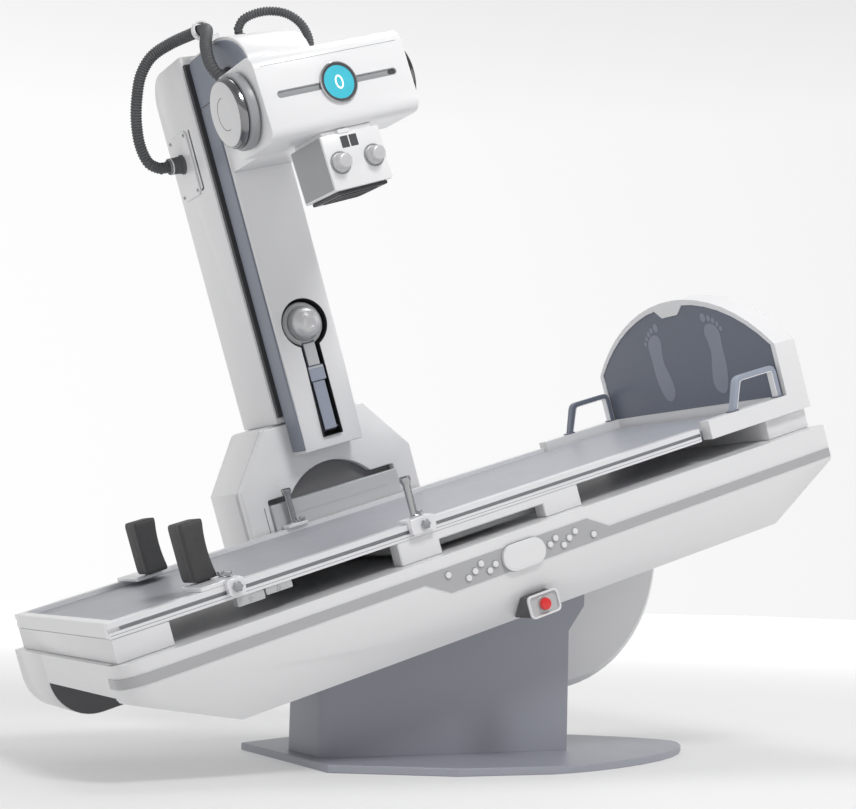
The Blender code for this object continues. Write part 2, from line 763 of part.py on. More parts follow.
def deck():
    """The flat top of the body; its front corner at the head end clears the fascia's round corner."""
    head = BODY_HEAD + END_PLATE_THICKNESS + GAP
    foot = BODY_FOOT - END_PLATE_THICKNESS - GAP
    front = BODY_FRONT + FASCIA_THICKNESS + GAP
    back = REAR_BEAM_INNER - GAP
    corner_front = front + corner_set_back(END_PLATE_THICKNESS)
    outline = [(head, corner_front), (BODY_HEAD + FASCIA_CORNER, front), (foot, front), (foot, back), (head, back)]
    mesh = plate_mesh("deck", "uv", outline, DECK_TOP - DECK_THICKNESS, DECK_TOP)
    return add_part("deck", mesh, "white_shell", TABLE)


def rear_beam():
    nose = REAR_BEAM_NOSE
    low = REAR_BEAM_BOTTOM + nose
    outline = [(BODY_HEAD, DECK_TOP)]
    outline += arc((BODY_HEAD + nose, low), nose, 180, 270, 10.0)
    outline += arc((BODY_FOOT - nose, low), nose, 270, 360, 10.0)
    outline.append((BODY_FOOT, DECK_TOP))
    mesh = plate_mesh("rear_beam", "uw", outline, REAR_BEAM_INNER, BODY_BACK)
    return bevel(add_part("rear_beam", mesh, "white_shell", TABLE), BODY_EDGE_BEVEL, 2, 60.0)


def end_plate(name, start, end, set_back=0.0):
    low = (start, BODY_FRONT + FASCIA_THICKNESS + set_back + GAP, END_PLATE_BOTTOM)
    high = (end, REAR_BEAM_INNER - GAP, DECK_TOP)
    return add_part(name, box_mesh(name, low, high), "white_shell", TABLE)


def column_rail():
    """The rail that the column runs on, with a groove along its back."""
    front = BODY_BACK + GAP
    back = CARRIAGE_FRONT - RUNNING_GAP
    middle = (COLUMN_RAIL_TOP + COLUMN_RAIL_BOTTOM) / 2
    half = COLUMN_RAIL_GROOVE / 2
    floor = back - COLUMN_RAIL_GROOVE_DEPTH
    outline = [
        (front, COLUMN_RAIL_BOTTOM),
        (back, COLUMN_RAIL_BOTTOM),
        (back, middle - half),
        (floor, middle - half),
        (floor, middle + half),
        (back, middle + half),
        (back, COLUMN_RAIL_TOP),
        (front, COLUMN_RAIL_TOP),
    ]
    mesh = plate_mesh("column_rail", "vw", outline, -COLUMN_RAIL_HALF_LENGTH, COLUMN_RAIL_HALF_LENGTH)
    return add_part("column_rail", mesh, "steel", TABLE)


def stop_slope(w):
    """Where the tucked-in lower face of the fascia lies at height w, near the middle."""
    bottom = (FASCIA_BOTTOM_HEAD + FASCIA_BOTTOM_FOOT) / 2
    share = (FASCIA_CREASE_MIDDLE - w) / (FASCIA_CREASE_MIDDLE - bottom)
    return BODY_FRONT + FASCIA_TUCK * share - 4 * GAP


def stop_housing():
    outline = [
        (STOP_FRONT, STOP_TOP),
        (stop_slope(STOP_TOP), STOP_TOP),
        (stop_slope(STOP_BOTTOM), STOP_BOTTOM),
        (STOP_FRONT, STOP_BOTTOM),
    ]
    mesh = plate_mesh("stop_housing", "vw", outline, STOP_CENTRE_U - STOP_HALF_LENGTH,
                      STOP_CENTRE_U + STOP_HALF_LENGTH)
    part = bevel(add_part("stop_housing", mesh, "light_grey", TABLE), 0.004, 2)
    middle = (STOP_CENTRE_U, (STOP_TOP + STOP_BOTTOM) / 2)
    bore_end = STOP_FRONT + STOP_STEM_LENGTH + STOP_TRAVEL
    cut(part, cylinder_mesh("stop_bore", "v", STOP_FRONT - 0.01, bore_end, middle,
                            STOP_STEM_RADIUS + RUNNING_GAP, segments=24))
    return part


def stop_button():
    middle = (STOP_CENTRE_U, (STOP_TOP + STOP_BOTTOM) / 2)
    back = STOP_FRONT - STOP_TRAVEL - RUNNING_GAP
    mesh = cylinder_mesh("stop_button", "v", back - STOP_BUTTON_THICKNESS, back, middle,
                         STOP_BUTTON_RADIUS, segments=32)
    part = add_part("stop_button", mesh, "red", TABLE)
    bevel(part, 0.004, 2)
    return join(part, cylinder_mesh("stop_stem", "v", back - 0.002, STOP_FRONT + STOP_STEM_LENGTH - STOP_TRAVEL,
                                    middle, STOP_STEM_RADIUS, segments=24))


# Tabletop

def side_rail(name, side):
    outer = side * RAIL_OUTER
    inner = side * (RAIL_OUTER - RAIL_WIDTH)
    middle = (RAIL_TOP + RAIL_BOTTOM) / 2
    groove = side * (RAIL_OUTER - RAIL_GROOVE_DEPTH)
    half = RAIL_GROOVE_HEIGHT / 2
    outline = [
        (outer, RAIL_BOTTOM),
        (outer, middle - half),
        (groove, middle - half),
        (groove, middle + half),
        (outer, middle + half),
        (outer, RAIL_TOP),
        (inner, RAIL_TOP),
        (inner, RAIL_BOTTOM),
    ]
    mesh = plate_mesh(name, "vw", outline, TOP_HEAD, RAIL_FOOT)
    return add_part(name, mesh, "aluminium", TABLE)


def tabletop_panel():
    half = RAIL_OUTER - RAIL_WIDTH - GAP
    mesh = box_mesh("tabletop_panel", (TOP_HEAD + HEAD_MEMBER_LENGTH + GAP, -half, PANEL_TOP - PANEL_THICKNESS),
                    (BOARD_FRONT - PANEL_BOARD_GAP, half, PANEL_TOP))
    return bevel(add_part("tabletop_panel", mesh, "tabletop_grey", TABLE), 0.002, 1)


def head_end_member():
    half = RAIL_OUTER - RAIL_WIDTH - GAP
    mesh = box_mesh("head_end_member", (TOP_HEAD, -half, RAIL_BOTTOM), (TOP_HEAD + HEAD_MEMBER_LENGTH, half, RAIL_TOP))
    return bevel(add_part("head_end_member", mesh, "white_shell", TABLE), 0.002, 1)


def spacer(name, start, end):
    mesh = box_mesh(name, (start, -SPACER_HALF_WIDTH, DECK_TOP + GAP), (end, SPACER_HALF_WIDTH, RAIL_BOTTOM - GAP))
    return bevel(add_part(name, mesh, "white_shell", TABLE), 0.004, 2)


def bridge_spacer():
    low = DECK_TOP + GAP
    high = RAIL_BOTTOM - GAP
    lintel = high - BRIDGE_LINTEL
    outline = [
        (BRIDGE_HEAD, low),
        (BRIDGE_HEAD + BRIDGE_LEG, low),
        (BRIDGE_HEAD + BRIDGE_LEG, lintel),
        (BRIDGE_FOOT - BRIDGE_LEG, lintel),
        (BRIDGE_FOOT - BRIDGE_LEG, low),
        (BRIDGE_FOOT, low),
        (BRIDGE_FOOT, high),
        (BRIDGE_HEAD, high),
    ]
    mesh = plate_mesh("bridge_spacer", "uw", outline, -SPACER_HALF_WIDTH, -SPACER_HALF_WIDTH + BRIDGE_DEPTH)
    return bevel(add_part("bridge_spacer", mesh, "white_shell", TABLE), 0.003, 1)


# Footboard

def board_crown(half_width, top, shoulder):
    """The upper outline of the footboard, from its right shoulder over the crown to its left."""
    rise = top - shoulder
    radius = (half_width ** 2 + rise ** 2) / (2 * rise)
    reach = atan2(half_width, radius - rise) * 180 / pi
    return arc((0, top - radius), radius, 90 - reach, 90 + reach, 6.0)


def board_outline(inset, low):
    """The footboard's face outline, with rounded shoulders, drawn in by an inset."""
    half = BOARD_HALF_WIDTH - inset
    crown = board_crown(half, BOARD_TOP - inset, BOARD_SHOULDER)
    return [(-half, low), (half, low)] + crown


def footboard_shell():
    """A deep white shell: a rim round a shallow recess for the panel, with an arm along each side."""
    low = RAIL_BOTTOM
    mesh = plate_mesh("footboard_shell", "vw", board_outline(0.0, low), BOARD_FRONT, BOARD_BACK)
    part = add_part("footboard_shell", mesh, "white_shell", TABLE)
    half = BOARD_HALF_WIDTH
    for side in (-1, 1):
        edges = sorted((side * half, side * (half - BOARD_ARM_WIDTH)))
        join(part, box_mesh("side_arm", (BOARD_ARM_HEAD, edges[0], low), (BOARD_FRONT + 0.010, edges[1], BOARD_ARM_TOP)))
    recess = board_panel_outline(-GAP)
    cut(part, plate_mesh("recess", "vw", recess, BOARD_FRONT - 0.020, BOARD_FRONT + BOARD_RECESS))
    return bevel(part, 0.005, 1, 50.0)


def board_panel_outline(inset):
    """The panel's outline inside the rim, with the flat-bottomed notch in its crown."""
    margin = BOARD_RIM + inset
    outline = board_outline(margin, BOARD_ARM_TOP + inset)
    crown_top = BOARD_TOP - margin
    deep = crown_top - BOARD_NOTCH_DEPTH
    low_half = BOARD_NOTCH_LOW_HALF + inset
    high_half = BOARD_NOTCH_TOP_HALF + inset
    notch = [(high_half, crown_top - 0.006), (low_half, deep), (-low_half, deep), (-high_half, crown_top - 0.006)]
    right = [spot for spot in outline if spot[0] > high_half or spot[1] < deep and spot[0] > 0]
    left = [spot for spot in outline if spot[0] < -high_half or spot[1] < deep and spot[0] < 0]
    return left[:1] + right + notch + left[1:]


def footboard_panel():
    back = BOARD_FRONT + BOARD_RECESS - GAP
    mesh = plate_mesh("footboard_panel", "vw", board_panel_outline(0.0), back - BOARD_PANEL_THICKNESS, back)
    return bevel(add_part("footboard_panel", mesh, "slate", TABLE), 0.0015, 1, 50.0)


def grip_outline(inset):
    """One side of the foot grip's bent bar: a leaning leg, a level bar and an upright leg."""
    base = BOARD_ARM_TOP + GAP
    top = FOOT_GRIP_TOP - inset
    start = FOOT_GRIP_START + inset
    lean = FOOT_GRIP_LEAN
    end = FOOT_GRIP_END - inset
    corner = FOOT_GRIP_CORNER - inset
    lean_angle = atan2(lean, FOOT_GRIP_TOP - base) * 180 / pi
    head_corner = arc((start + lean + corner * 0.85, top - corner), corner, 180 - lean_angle, 90, 25.0)
    foot_corner = arc((end - corner * 0.6, top - corner * 0.6), corner * 0.6, 90, 0, 45.0)
    return [(start, base)] + head_corner + foot_corner + [(end, base)]


def foot_grip(name, side):
    v = side * FOOT_GRIP_V
    outline = grip_outline(0.0) + list(reversed(grip_outline(FOOT_GRIP_THICKNESS)))
    mesh = plate_mesh(name, "uw", outline, v - FOOT_GRIP_WIDTH / 2, v + FOOT_GRIP_WIDTH / 2)
    return bevel(add_part(name, mesh, "slate", TABLE), 0.003, 1, 40.0)


# Column carriage and detector

def carriage_outline(low, margin=0.0):
    half = CARRIAGE_HALF_WIDTH - margin
    top_half = CARRIAGE_TOP_HALF_WIDTH - margin
    top = CARRIAGE_TOP - margin
    return (
        [(COLUMN_U + half, low), (COLUMN_U + half, CARRIAGE_SHOULDER), (COLUMN_U + top_half, top),
         (COLUMN_U - top_half, top), (COLUMN_U - half, CARRIAGE_SHOULDER), (COLUMN_U - half, low)])


def carriage_housing():
    mesh = plate_mesh("carriage_housing", "uw", carriage_outline(CARRIAGE_BOTTOM), CARRIAGE_FRONT, CARRIAGE_BACK)
    return bevel(add_part("carriage_housing", mesh, "white_shell", TABLE), CARRIAGE_EDGE_BEVEL, 3)


def recess_outline(inset=0.0):
    """The arched slot in the carriage cover, from its lower left corner over the arch."""
    half = RECESS_HALF_LENGTH - inset
    top = RECESS_TOP - inset
    arch = RECESS_ARCH_HALF - inset
    radius = (arch ** 2 + RECESS_ARCH_RISE ** 2) / (2 * RECESS_ARCH_RISE)
    reach = atan2(arch, radius - RECESS_ARCH_RISE) * 180 / pi
    points = arc((COLUMN_U, top + RECESS_ARCH_RISE - radius), radius, 90 + reach, 90 - reach, 8.0)
    corner = RECESS_CORNER + inset
    left = arc((COLUMN_U - half + corner, top - corner), corner, 180, 90, 30.0)
    right = arc((COLUMN_U + half - corner, top - corner), corner, 90, 0, 30.0)
    return left + points + right


def carriage_cover():
    outline = carriage_outline(COVER_BOTTOM, 0.006)
    outline.append((COLUMN_U - RECESS_HALF_LENGTH, COVER_BOTTOM))
    outline += recess_outline()
    outline.append((COLUMN_U + RECESS_HALF_LENGTH, COVER_BOTTOM))
    mesh = plate_mesh("carriage_cover", "uw", outline, COVER_FRONT, CARRIAGE_FRONT - GAP)
    return bevel(add_part("carriage_cover", mesh, "white_shell", TABLE), 0.005, 2, 35.0)


def recess_panel():
    slot_low = RECESS_TOP - RECESS_SLOT_HEIGHT
    half = RECESS_HALF_LENGTH - GAP * 2
    outline = [(COLUMN_U + half, slot_low), (COLUMN_U - half, slot_low)] + recess_outline(2 * GAP)
    back = CARRIAGE_FRONT - GAP
    mesh = plate_mesh("recess_panel", "uw", outline, back - RECESS_PANEL_DEPTH, back)
    return add_part("recess_panel", mesh, "slate", TABLE)


def detector_arm():
    top = RECESS_TOP - RECESS_SLOT_HEIGHT - GAP
    back = CARRIAGE_FRONT - GAP
    step = ARM_BOTTOM + ARM_THICKNESS
    outline = [
        (back, top),
        (ARM_TOP_PLATE_FRONT, top),
        (ARM_TOP_PLATE_FRONT, step),
        (ARM_REACH, step),
        (ARM_REACH, ARM_BOTTOM),
        (back, ARM_BOTTOM),
    ]
    half = RECESS_HALF_LENGTH - RUNNING_GAP
    mesh = plate_mesh("detector_arm", "vw", outline, COLUMN_U - half, COLUMN_U + half)
    return bevel(add_part("detector_arm", mesh, "light_grey", TABLE), 0.002, 1)


def detector_tray():
    mesh = box_mesh("detector_tray", (COLUMN_U - TRAY_HALF_LENGTH, TRAY_FRONT, TRAY_BOTTOM),
                    (COLUMN_U + TRAY_HALF_LENGTH, ARM_REACH - GAP, TRAY_TOP))
    return bevel(add_part("detector_tray", mesh, "light_grey", TABLE), 0.004, 1)


def column_mast():
    low = CARRIAGE_TOP + GAP
    outline = [(MAST_FRONT, low), (MAST_BACK, low)]
    outline += arc((MAST_BACK - MAST_TOP_ROUND, MAST_TOP - MAST_TOP_ROUND), MAST_TOP_ROUND, 0, 90)
    outline.append((MAST_FRONT, MAST_TOP))
    mesh = plate_mesh("column_mast", "vw", outline, COLUMN_U - MAST_HALF_WIDTH, COLUMN_U + MAST_HALF_WIDTH)
    return bevel(add_part("column_mast", mesh, "white_shell", TABLE), 0.006, 2, 50.0)


def mast_guide():
    half = MAST_HALF_WIDTH - GUIDE_MARGIN
    front = MAST_FRONT - GAP - GUIDE_THICKNESS
    mesh = box_mesh("mast_guide", (COLUMN_U - half, front, CARRIAGE_TOP + 0.020),
                    (COLUMN_U + half, MAST_FRONT - GAP, MAST_TOP - 0.030))
    return add_part("mast_guide", mesh, "dark_grey", TABLE)


def mast_side_cover():
    """A raised cover on the mast's side, with the gland that the left hose comes out of."""
    face = COLUMN_U - MAST_HALF_WIDTH - GAP
    outline = rounded_box_outline((SIDE_COVER_FRONT, SIDE_COVER_BOTTOM), (SIDE_COVER_BACK, SIDE_COVER_TOP),
                                  SIDE_COVER_ROUND, 30.0)
    mesh = plate_mesh("mast_side_cover", "vw", outline, face - SIDE_COVER_THICKNESS, face)
    part = bevel(add_part("mast_side_cover", mesh, "white_shell", TABLE), 0.002, 1, 50.0)
    start = LEFT_HOSE_ROUTE[0]
    return join(part, cylinder_mesh("gland", "u", start[0] + GAP, face - SIDE_COVER_THICKNESS / 2,
                                    (start[1], start[2]), GLAND_RADIUS, segments=32))


# Sliding beam

def beam_back():
    return MAST_FRONT - GAP - GUIDE_THICKNESS - RUNNING_GAP


def beam_shell():
    back = beam_back()
    outline = [
        (BEAM_FRONT + BEAM_CREASE_SET_BACK, BEAM_BOTTOM),
        (back, BEAM_BOTTOM),
    ]
    outline += arc((back - BEAM_TOP_ROUND, BEAM_TOP - BEAM_TOP_ROUND), BEAM_TOP_ROUND, 0, 90, 15.0)
    outline += [(BEAM_FRONT, BEAM_TOP), (BEAM_FRONT, BEAM_CREASE)]
    mesh = plate_mesh("beam_shell", "vw", outline, COLUMN_U - BEAM_HALF_WIDTH, COLUMN_U + BEAM_HALF_WIDTH)
    part = bevel(add_part("beam_shell", mesh, "white_shell", TABLE), BEAM_EDGE_BEVEL, 2, 50.0)
    floor = BEAM_FRONT + KEYHOLE_DEPTH
    keyhole = arc((COLUMN_U, KEYHOLE_W), KEYHOLE_RADIUS, -65, 245, 8.0)
    keyhole += [(COLUMN_U - KEYHOLE_SLOT_HALF, KEYHOLE_BOTTOM), (COLUMN_U + KEYHOLE_SLOT_HALF, KEYHOLE_BOTTOM)]
    return cut(part, plate_mesh("keyhole", "uw", keyhole, BEAM_FRONT - 0.020, floor))


def beam_side_panel(name, outline):
    face = COLUMN_U - BEAM_HALF_WIDTH - GAP
    mesh = plate_mesh(name, "vw", outline, face - SIDE_PANEL_THICKNESS, face)
    return bevel(add_part(name, mesh, "slate", TABLE), 0.002, 1, 50.0)


def lower_panel_outline():
    return rounded_box_outline((BEAM_FRONT + SIDE_PANEL_MARGIN, BEAM_BOTTOM + SIDE_PANEL_MARGIN),
                               (beam_back() - SIDE_PANEL_MARGIN, SIDE_PANEL_SEAM), 0.008, 30.0)


def arm_front():
    return HEAD_V + HEAD_HALF_DEPTH + RUNNING_GAP


def arm_bow(inset):
    """The arm's bowed top, from its upper front edge back to where it runs level."""
    rise = BEAM_TOP - ARM_BOW_START - inset
    reach = ARM_BOW_REACH - inset
    centre = arm_front() + ARM_BOW_REACH
    points = []
    steps = 8
    for k in range(steps + 1):
        turn = pi / 2 * k / steps
        points.append((centre - reach * cos(turn), ARM_BOW_START + rise * sin(turn)))
    return points


def upper_panel_outline():
    inset = SIDE_PANEL_MARGIN
    low = SIDE_PANEL_SEAM + 0.004
    back = beam_back() - inset
    top = BEAM_TOP - inset
    corner = arc((back - 0.020, top - 0.020), 0.020, 90, 0, 30.0)
    return [(back, low), (arm_front() + inset, low)] + arm_bow(inset) + corner


def head_neck():
    """The arm from the beam's top to the tube head, as wide as the beam and bowed over on top."""
    end = BEAM_FRONT - GAP
    outline = [(end, ARM_LOW), (arm_front(), ARM_LOW)] + arm_bow(0.0) + [(end, BEAM_TOP)]
    mesh = plate_mesh("head_neck", "vw", outline, COLUMN_U - BEAM_HALF_WIDTH, COLUMN_U + BEAM_HALF_WIDTH)
    return bevel(add_part("head_neck", mesh, "white_shell", TABLE), BEAM_EDGE_BEVEL, 2, 50.0)


def top_hose_gland():
    start = TOP_HOSE_ROUTE[0]
    mesh = cylinder_mesh("top_hose_gland", "w", BEAM_TOP + GAP, start[2] - GAP, (start[0], start[1]),
                         TOP_GLAND_RADIUS, segments=28)
    return bevel(add_part("top_hose_gland", mesh, "dark_grey", TABLE), 0.003, 1)


def hose_clip():
    """A ring round the left hose, on a foot that stands on the beam's top."""
    middle = Vector(LEFT_HOSE_ROUTE[CLIP_POINT])
    inner = HOSE_RADIUS + 0.005
    outer = inner + 0.006
    half = 0.010
    outline = arc((middle.x, middle.z), outer, 0, 350, 10.0)
    hole = arc((middle.x, middle.z), inner, 0, 350, 10.0)
    mesh = plate_mesh("hose_clip", "uw", outline, middle.y - half, middle.y + half, [hole])
    part = add_part("hose_clip", mesh, "white_shell", TABLE)
    foot_low = (middle.x + inner * 0.8, middle.y - half, BEAM_TOP + GAP)
    foot_high = (middle.x + inner + 0.030, middle.y + half, middle.z - inner * 0.7)
    return join(part, box_mesh("clip_foot", foot_low, foot_high))


def compression_arm():
    """Folded up in the keyhole at rest; it hinges at the slot's lower end."""
    front = BEAM_FRONT + 0.012
    hinge_v = front + COMPRESSION_ARM_THICKNESS / 2
    half = COMPRESSION_ARM_THICKNESS / 2
    outline = arc((hinge_v, COMPRESSION_HINGE_W), half, 180, 360, 15.0)
    outline += [(hinge_v + half, KEYHOLE_W - 0.010), (hinge_v - half, KEYHOLE_W - 0.010)]
    mesh = plate_mesh("compression_arm", "vw", outline, COLUMN_U - COMPRESSION_ARM_HALF,
                      COLUMN_U + COMPRESSION_ARM_HALF)
    part = bevel(add_part("compression_arm", mesh, "slate", TABLE), 0.002, 1, 50.0)
    disc = cylinder_mesh("arm_disc", "v", hinge_v - half, hinge_v + half, (COLUMN_U, KEYHOLE_W),
                         COMPRESSION_CONE_RADIUS - 0.006, segments=40)
    join(part, disc)
    reach = KEYHOLE_SLOT_HALF - GAP
    return join(part, cylinder_mesh("hinge_pin", "u", COLUMN_U - reach, COLUMN_U + reach,
                                    (hinge_v, COMPRESSION_HINGE_W), HINGE_PIN_RADIUS, segments=20))


def compression_cone():
    """A domed cone with a flat tip, on the far end of the arm."""
    base = BEAM_FRONT + 0.012 - GAP
    rings = 5
    profile = []
    for k in range(rings + 1):
        turn = pi / 2 * k / rings
        radius = COMPRESSION_TIP_RADIUS + (COMPRESSION_CONE_RADIUS - COMPRESSION_TIP_RADIUS) * cos(turn)
        profile.append((radius, base - COMPRESSION_CONE_HEIGHT * sin(turn)))
    sections = []
    count = 32
    for radius, v in profile:
        ring = []
        for k in range(count):
            turn = 2 * pi * k / count
            ring.append((COLUMN_U + radius * cos(turn), v, KEYHOLE_W + radius * sin(turn)))
        sections.append(ring)
    return add_part("compression_cone", loft_mesh("compression_cone", sections), "white_shell", TABLE, 50.0)


# Tube head

def head_housing():
    low = (HEAD_V - HEAD_HALF_DEPTH, HEAD_W - HEAD_HALF_HEIGHT)
    high = (HEAD_V + HEAD_HALF_DEPTH, HEAD_W + HEAD_HALF_HEIGHT)
    outline = rounded_box_outline(low, high, HEAD_CORNER, 22.5)
    mesh = plate_mesh("head_housing", "vw", outline, HEAD_U - HEAD_HALF_LENGTH, HEAD_U + HEAD_HALF_LENGTH)
    part = bevel(add_part("head_housing", mesh, "white_shell", HEAD), 0.012, 2, 60.0)
    front = HEAD_V - HEAD_HALF_DEPTH
    slot = rounded_box_outline((HEAD_U - HEAD_SLOT_HALF_LENGTH, HEAD_W - HEAD_SLOT_HALF_HEIGHT),
                               (HEAD_U + HEAD_SLOT_HALF_LENGTH, HEAD_W + HEAD_SLOT_HALF_HEIGHT),
                               HEAD_SLOT_HALF_HEIGHT * 0.98, 30.0)
    return cut(part, plate_mesh("head_slot", "uw", slot, front - 0.010, front + HEAD_SLOT_DEPTH))


def head_left_cap():
    """A wide ring with a raised disc, on the head's left end."""
    face = HEAD_U - HEAD_HALF_LENGTH - GAP
    centre = (HEAD_V, HEAD_W)
    part = add_part("head_left_cap", cylinder_mesh("head_left_cap", "u", face - HEAD_RING_LENGTH, face, centre,
                                                   HEAD_RING_RADIUS, segments=40), "light_grey", HEAD)
    join(part, cylinder_mesh("cap_disc", "u", face - HEAD_RING_LENGTH - HEAD_CAP_LENGTH, face - 0.004, centre,
                             HEAD_CAP_RADIUS, segments=40))
    return bevel(part, 0.006, 2, 60.0)


def head_right_cap():
    face = HEAD_U + HEAD_HALF_LENGTH + GAP
    mesh = cylinder_mesh("head_right_cap", "u", face, face + HEAD_RIGHT_CAP_LENGTH, (HEAD_V, HEAD_W),
                         HEAD_RING_RADIUS, segments=40)
    return bevel(add_part("head_right_cap", mesh, "dark_grey", HEAD), 0.012, 2, 60.0)


def head_display():
    face = HEAD_V - HEAD_HALF_DEPTH - GAP
    mesh = cylinder_mesh("head_display", "v", face - DISPLAY_THICKNESS, face, (HEAD_U, HEAD_W), DISPLAY_RADIUS)
    return bevel(add_part("head_display", mesh, "teal", HEAD), 0.003, 2, 60.0)


def collimator():
    neck_top = HEAD_W - HEAD_HALF_HEIGHT - GAP
    top = neck_top - COLLIMATOR_NECK_HEIGHT
    half = COLLIMATOR_HALF_WIDTH
    mesh = box_mesh("collimator", (HEAD_U - half, COLLIMATOR_FRONT, COLLIMATOR_BOTTOM),
                    (HEAD_U + half, COLLIMATOR_BACK, top))
    part = bevel(add_part("collimator", mesh, "white_shell", HEAD), 0.004, 2)
    margin = COLLIMATOR_NECK_MARGIN
    return join(part, box_mesh("collimator_neck", (HEAD_U - half + margin, COLLIMATOR_FRONT + margin, top - 0.010),
                               (HEAD_U + half - margin, COLLIMATOR_BACK - margin, neck_top)))


def collimator_port():
    top = COLLIMATOR_BOTTOM - GAP
    half = COLLIMATOR_HALF_WIDTH - PORT_MARGIN
    mesh = box_mesh("collimator_port", (HEAD_U - half, COLLIMATOR_FRONT + PORT_MARGIN, top - PORT_THICKNESS),
                    (HEAD_U + half, COLLIMATOR_BACK - PORT_MARGIN, top))
    return bevel(add_part("collimator_port", mesh, "dark_grey", HEAD), 0.003, 1)


def collimator_knob(name, side):
    face = COLLIMATOR_FRONT - GAP
    mesh = cylinder_mesh(name, "v", face - KNOB_LENGTH, face, (HEAD_U + side * KNOB_SPACING / 2, KNOB_W),
                         KNOB_RADIUS, segments=28)
    return bevel(add_part(name, mesh, "light_grey", HEAD), 0.010, 2, 60.0)


# Rail accessories

def clamp_plate_low():
    return RAIL_TOP + GAP


def rail_clamp(name, side, u, length, reach_v):
    """A plate on the rail's top; on the front rail its jaw hangs over the grooved side."""
    low = clamp_plate_low()
    high = low + CLAMP_PLATE_THICKNESS
    outer = side * RAIL_OUTER
    edges = sorted((outer, reach_v))
    mesh = box_mesh(name, (u - length / 2, edges[0], low), (u + length / 2, edges[1], high))
    part = add_part(name, mesh, "aluminium", TABLE)
    if side < 0:
        jaw_low = (u - length / 2, outer - GAP - CLAMP_JAW_WIDTH, CLAMP_JAW_BOTTOM)
        join(part, box_mesh("jaw", jaw_low, (u + length / 2, outer - GAP, high)))
        join(part, box_mesh("jaw_root", (u - length / 2, outer - 0.010, low), (u + length / 2, outer + 0.010, high)))
    return bevel(part, 0.002, 1, 60.0)


def shoulder_clamp(name, side, u, pad_v):
    part = rail_clamp(name, side, u, CLAMP_LENGTH, pad_v)
    top = clamp_plate_low() + CLAMP_PLATE_THICKNESS
    stem = cylinder_mesh("stem", "w", top - 0.004, PAD_BOTTOM - GAP, (u, pad_v - side * -0.020), 0.012, segments=24)
    return join(part, stem)


def shoulder_pad(name, u, v):
    """A soft pad, hollowed towards the patient's shoulder on its foot side."""
    half = PAD_THICKNESS / 2
    middle = (PAD_BOTTOM + PAD_TOP) / 2
    outline = [(u - half, PAD_BOTTOM), (u + half, PAD_BOTTOM)]
    steps = 6
    for k in range(1, steps):
        share = k / steps
        bulge = PAD_HOLLOW * sin(pi * share)
        outline.append((u + half - bulge, PAD_BOTTOM + (PAD_TOP - PAD_BOTTOM) * share))
    outline += [(u + half, PAD_TOP), (u - half, PAD_TOP), (u - half - 0.004, middle)]
    mesh = plate_mesh(name, "uw", outline, v - PAD_WIDTH / 2, v + PAD_WIDTH / 2)
    return bevel(add_part(name, mesh, "rubber", TABLE), 0.006, 2, 50.0)


def hand_grip(name, side, u):
    inner = side * (RAIL_OUTER - RAIL_WIDTH - 0.012)
    part = rail_clamp(name, side, u, GRIP_CLAMP_LENGTH, inner)
    middle = side * (RAIL_OUTER - RAIL_WIDTH / 2)
    low = clamp_plate_low() + CLAMP_PLATE_THICKNESS - 0.004
    join(part, cylinder_mesh("post", "w", low, GRIP_POST_TOP - 0.010, (u, middle), GRIP_POST_RADIUS, segments=28))
    return join(part, cylinder_mesh("post_cap", "w", GRIP_POST_TOP - 0.012, GRIP_POST_TOP, (u, middle),
                                    GRIP_CAP_RADIUS, segments=28))


# Hoses

def hose(name, route, radius):
    mesh = tube_mesh(name, smooth_route(route, 2.4 * radius), radius, 2)
    return add_part(name, mesh, "rubber", TABLE, 60.0)


base_plate()
pedestal()
tilt_shaft()
tilt_sector()
tilt_frame()
deck()
front_fascia()
control_band()
keypad("keypad_left", -1)
keypad("keypad_right", 1)
oval_cover()
rear_beam()
end_plate("head_end_plate", BODY_HEAD, BODY_HEAD + END_PLATE_THICKNESS, FASCIA_CORNER)
end_plate("foot_end_plate", BODY_FOOT - END_PLATE_THICKNESS, BODY_FOOT)
column_rail()
stop_housing()
stop_button()
side_rail("front_side_rail", -1)
side_rail("rear_side_rail", 1)
tabletop_panel()
head_end_member()
spacer("head_spacer", TOP_HEAD, TOP_HEAD + HEAD_SPACER_LENGTH)
bridge_spacer()
spacer("foot_spacer", FOOT_SPACER_START, FOOT_SPACER_END)
footboard_shell()
footboard_panel()
foot_grip("foot_grip_front", -1)
foot_grip("foot_grip_rear", 1)
carriage_housing()
carriage_cover()
recess_panel()
detector_arm()
detector_tray()
column_mast()
mast_guide()
mast_side_cover()
beam_shell()
beam_side_panel("beam_side_panel_lower", lower_panel_outline())
beam_side_panel("beam_side_panel_upper", upper_panel_outline())
head_neck()
top_hose_gland()
hose_clip()
compression_arm()
compression_cone()
head_housing()
head_left_cap()
head_right_cap()
head_display()
collimator()
collimator_port()
collimator_knob("collimator_knob_left", -1)
collimator_knob("collimator_knob_right", 1)
shoulder_clamp("shoulder_clamp_front", -1, PAD_FRONT_U, PAD_FRONT_V)
shoulder_clamp("shoulder_clamp_rear", 1, PAD_REAR_U, PAD_REAR_V)
shoulder_pad("shoulder_pad_front", PAD_FRONT_U, PAD_FRONT_V)
shoulder_pad("shoulder_pad_rear", PAD_REAR_U, PAD_REAR_V)
hand_grip("hand_grip_front", -1, GRIP_FRONT_U)
hand_grip("hand_grip_rear", 1, GRIP_REAR_U)
hose("left_hose", LEFT_HOSE_ROUTE, HOSE_RADIUS)
hose("top_hose", TOP_HOSE_ROUTE, TOP_HOSE_RADIUS)
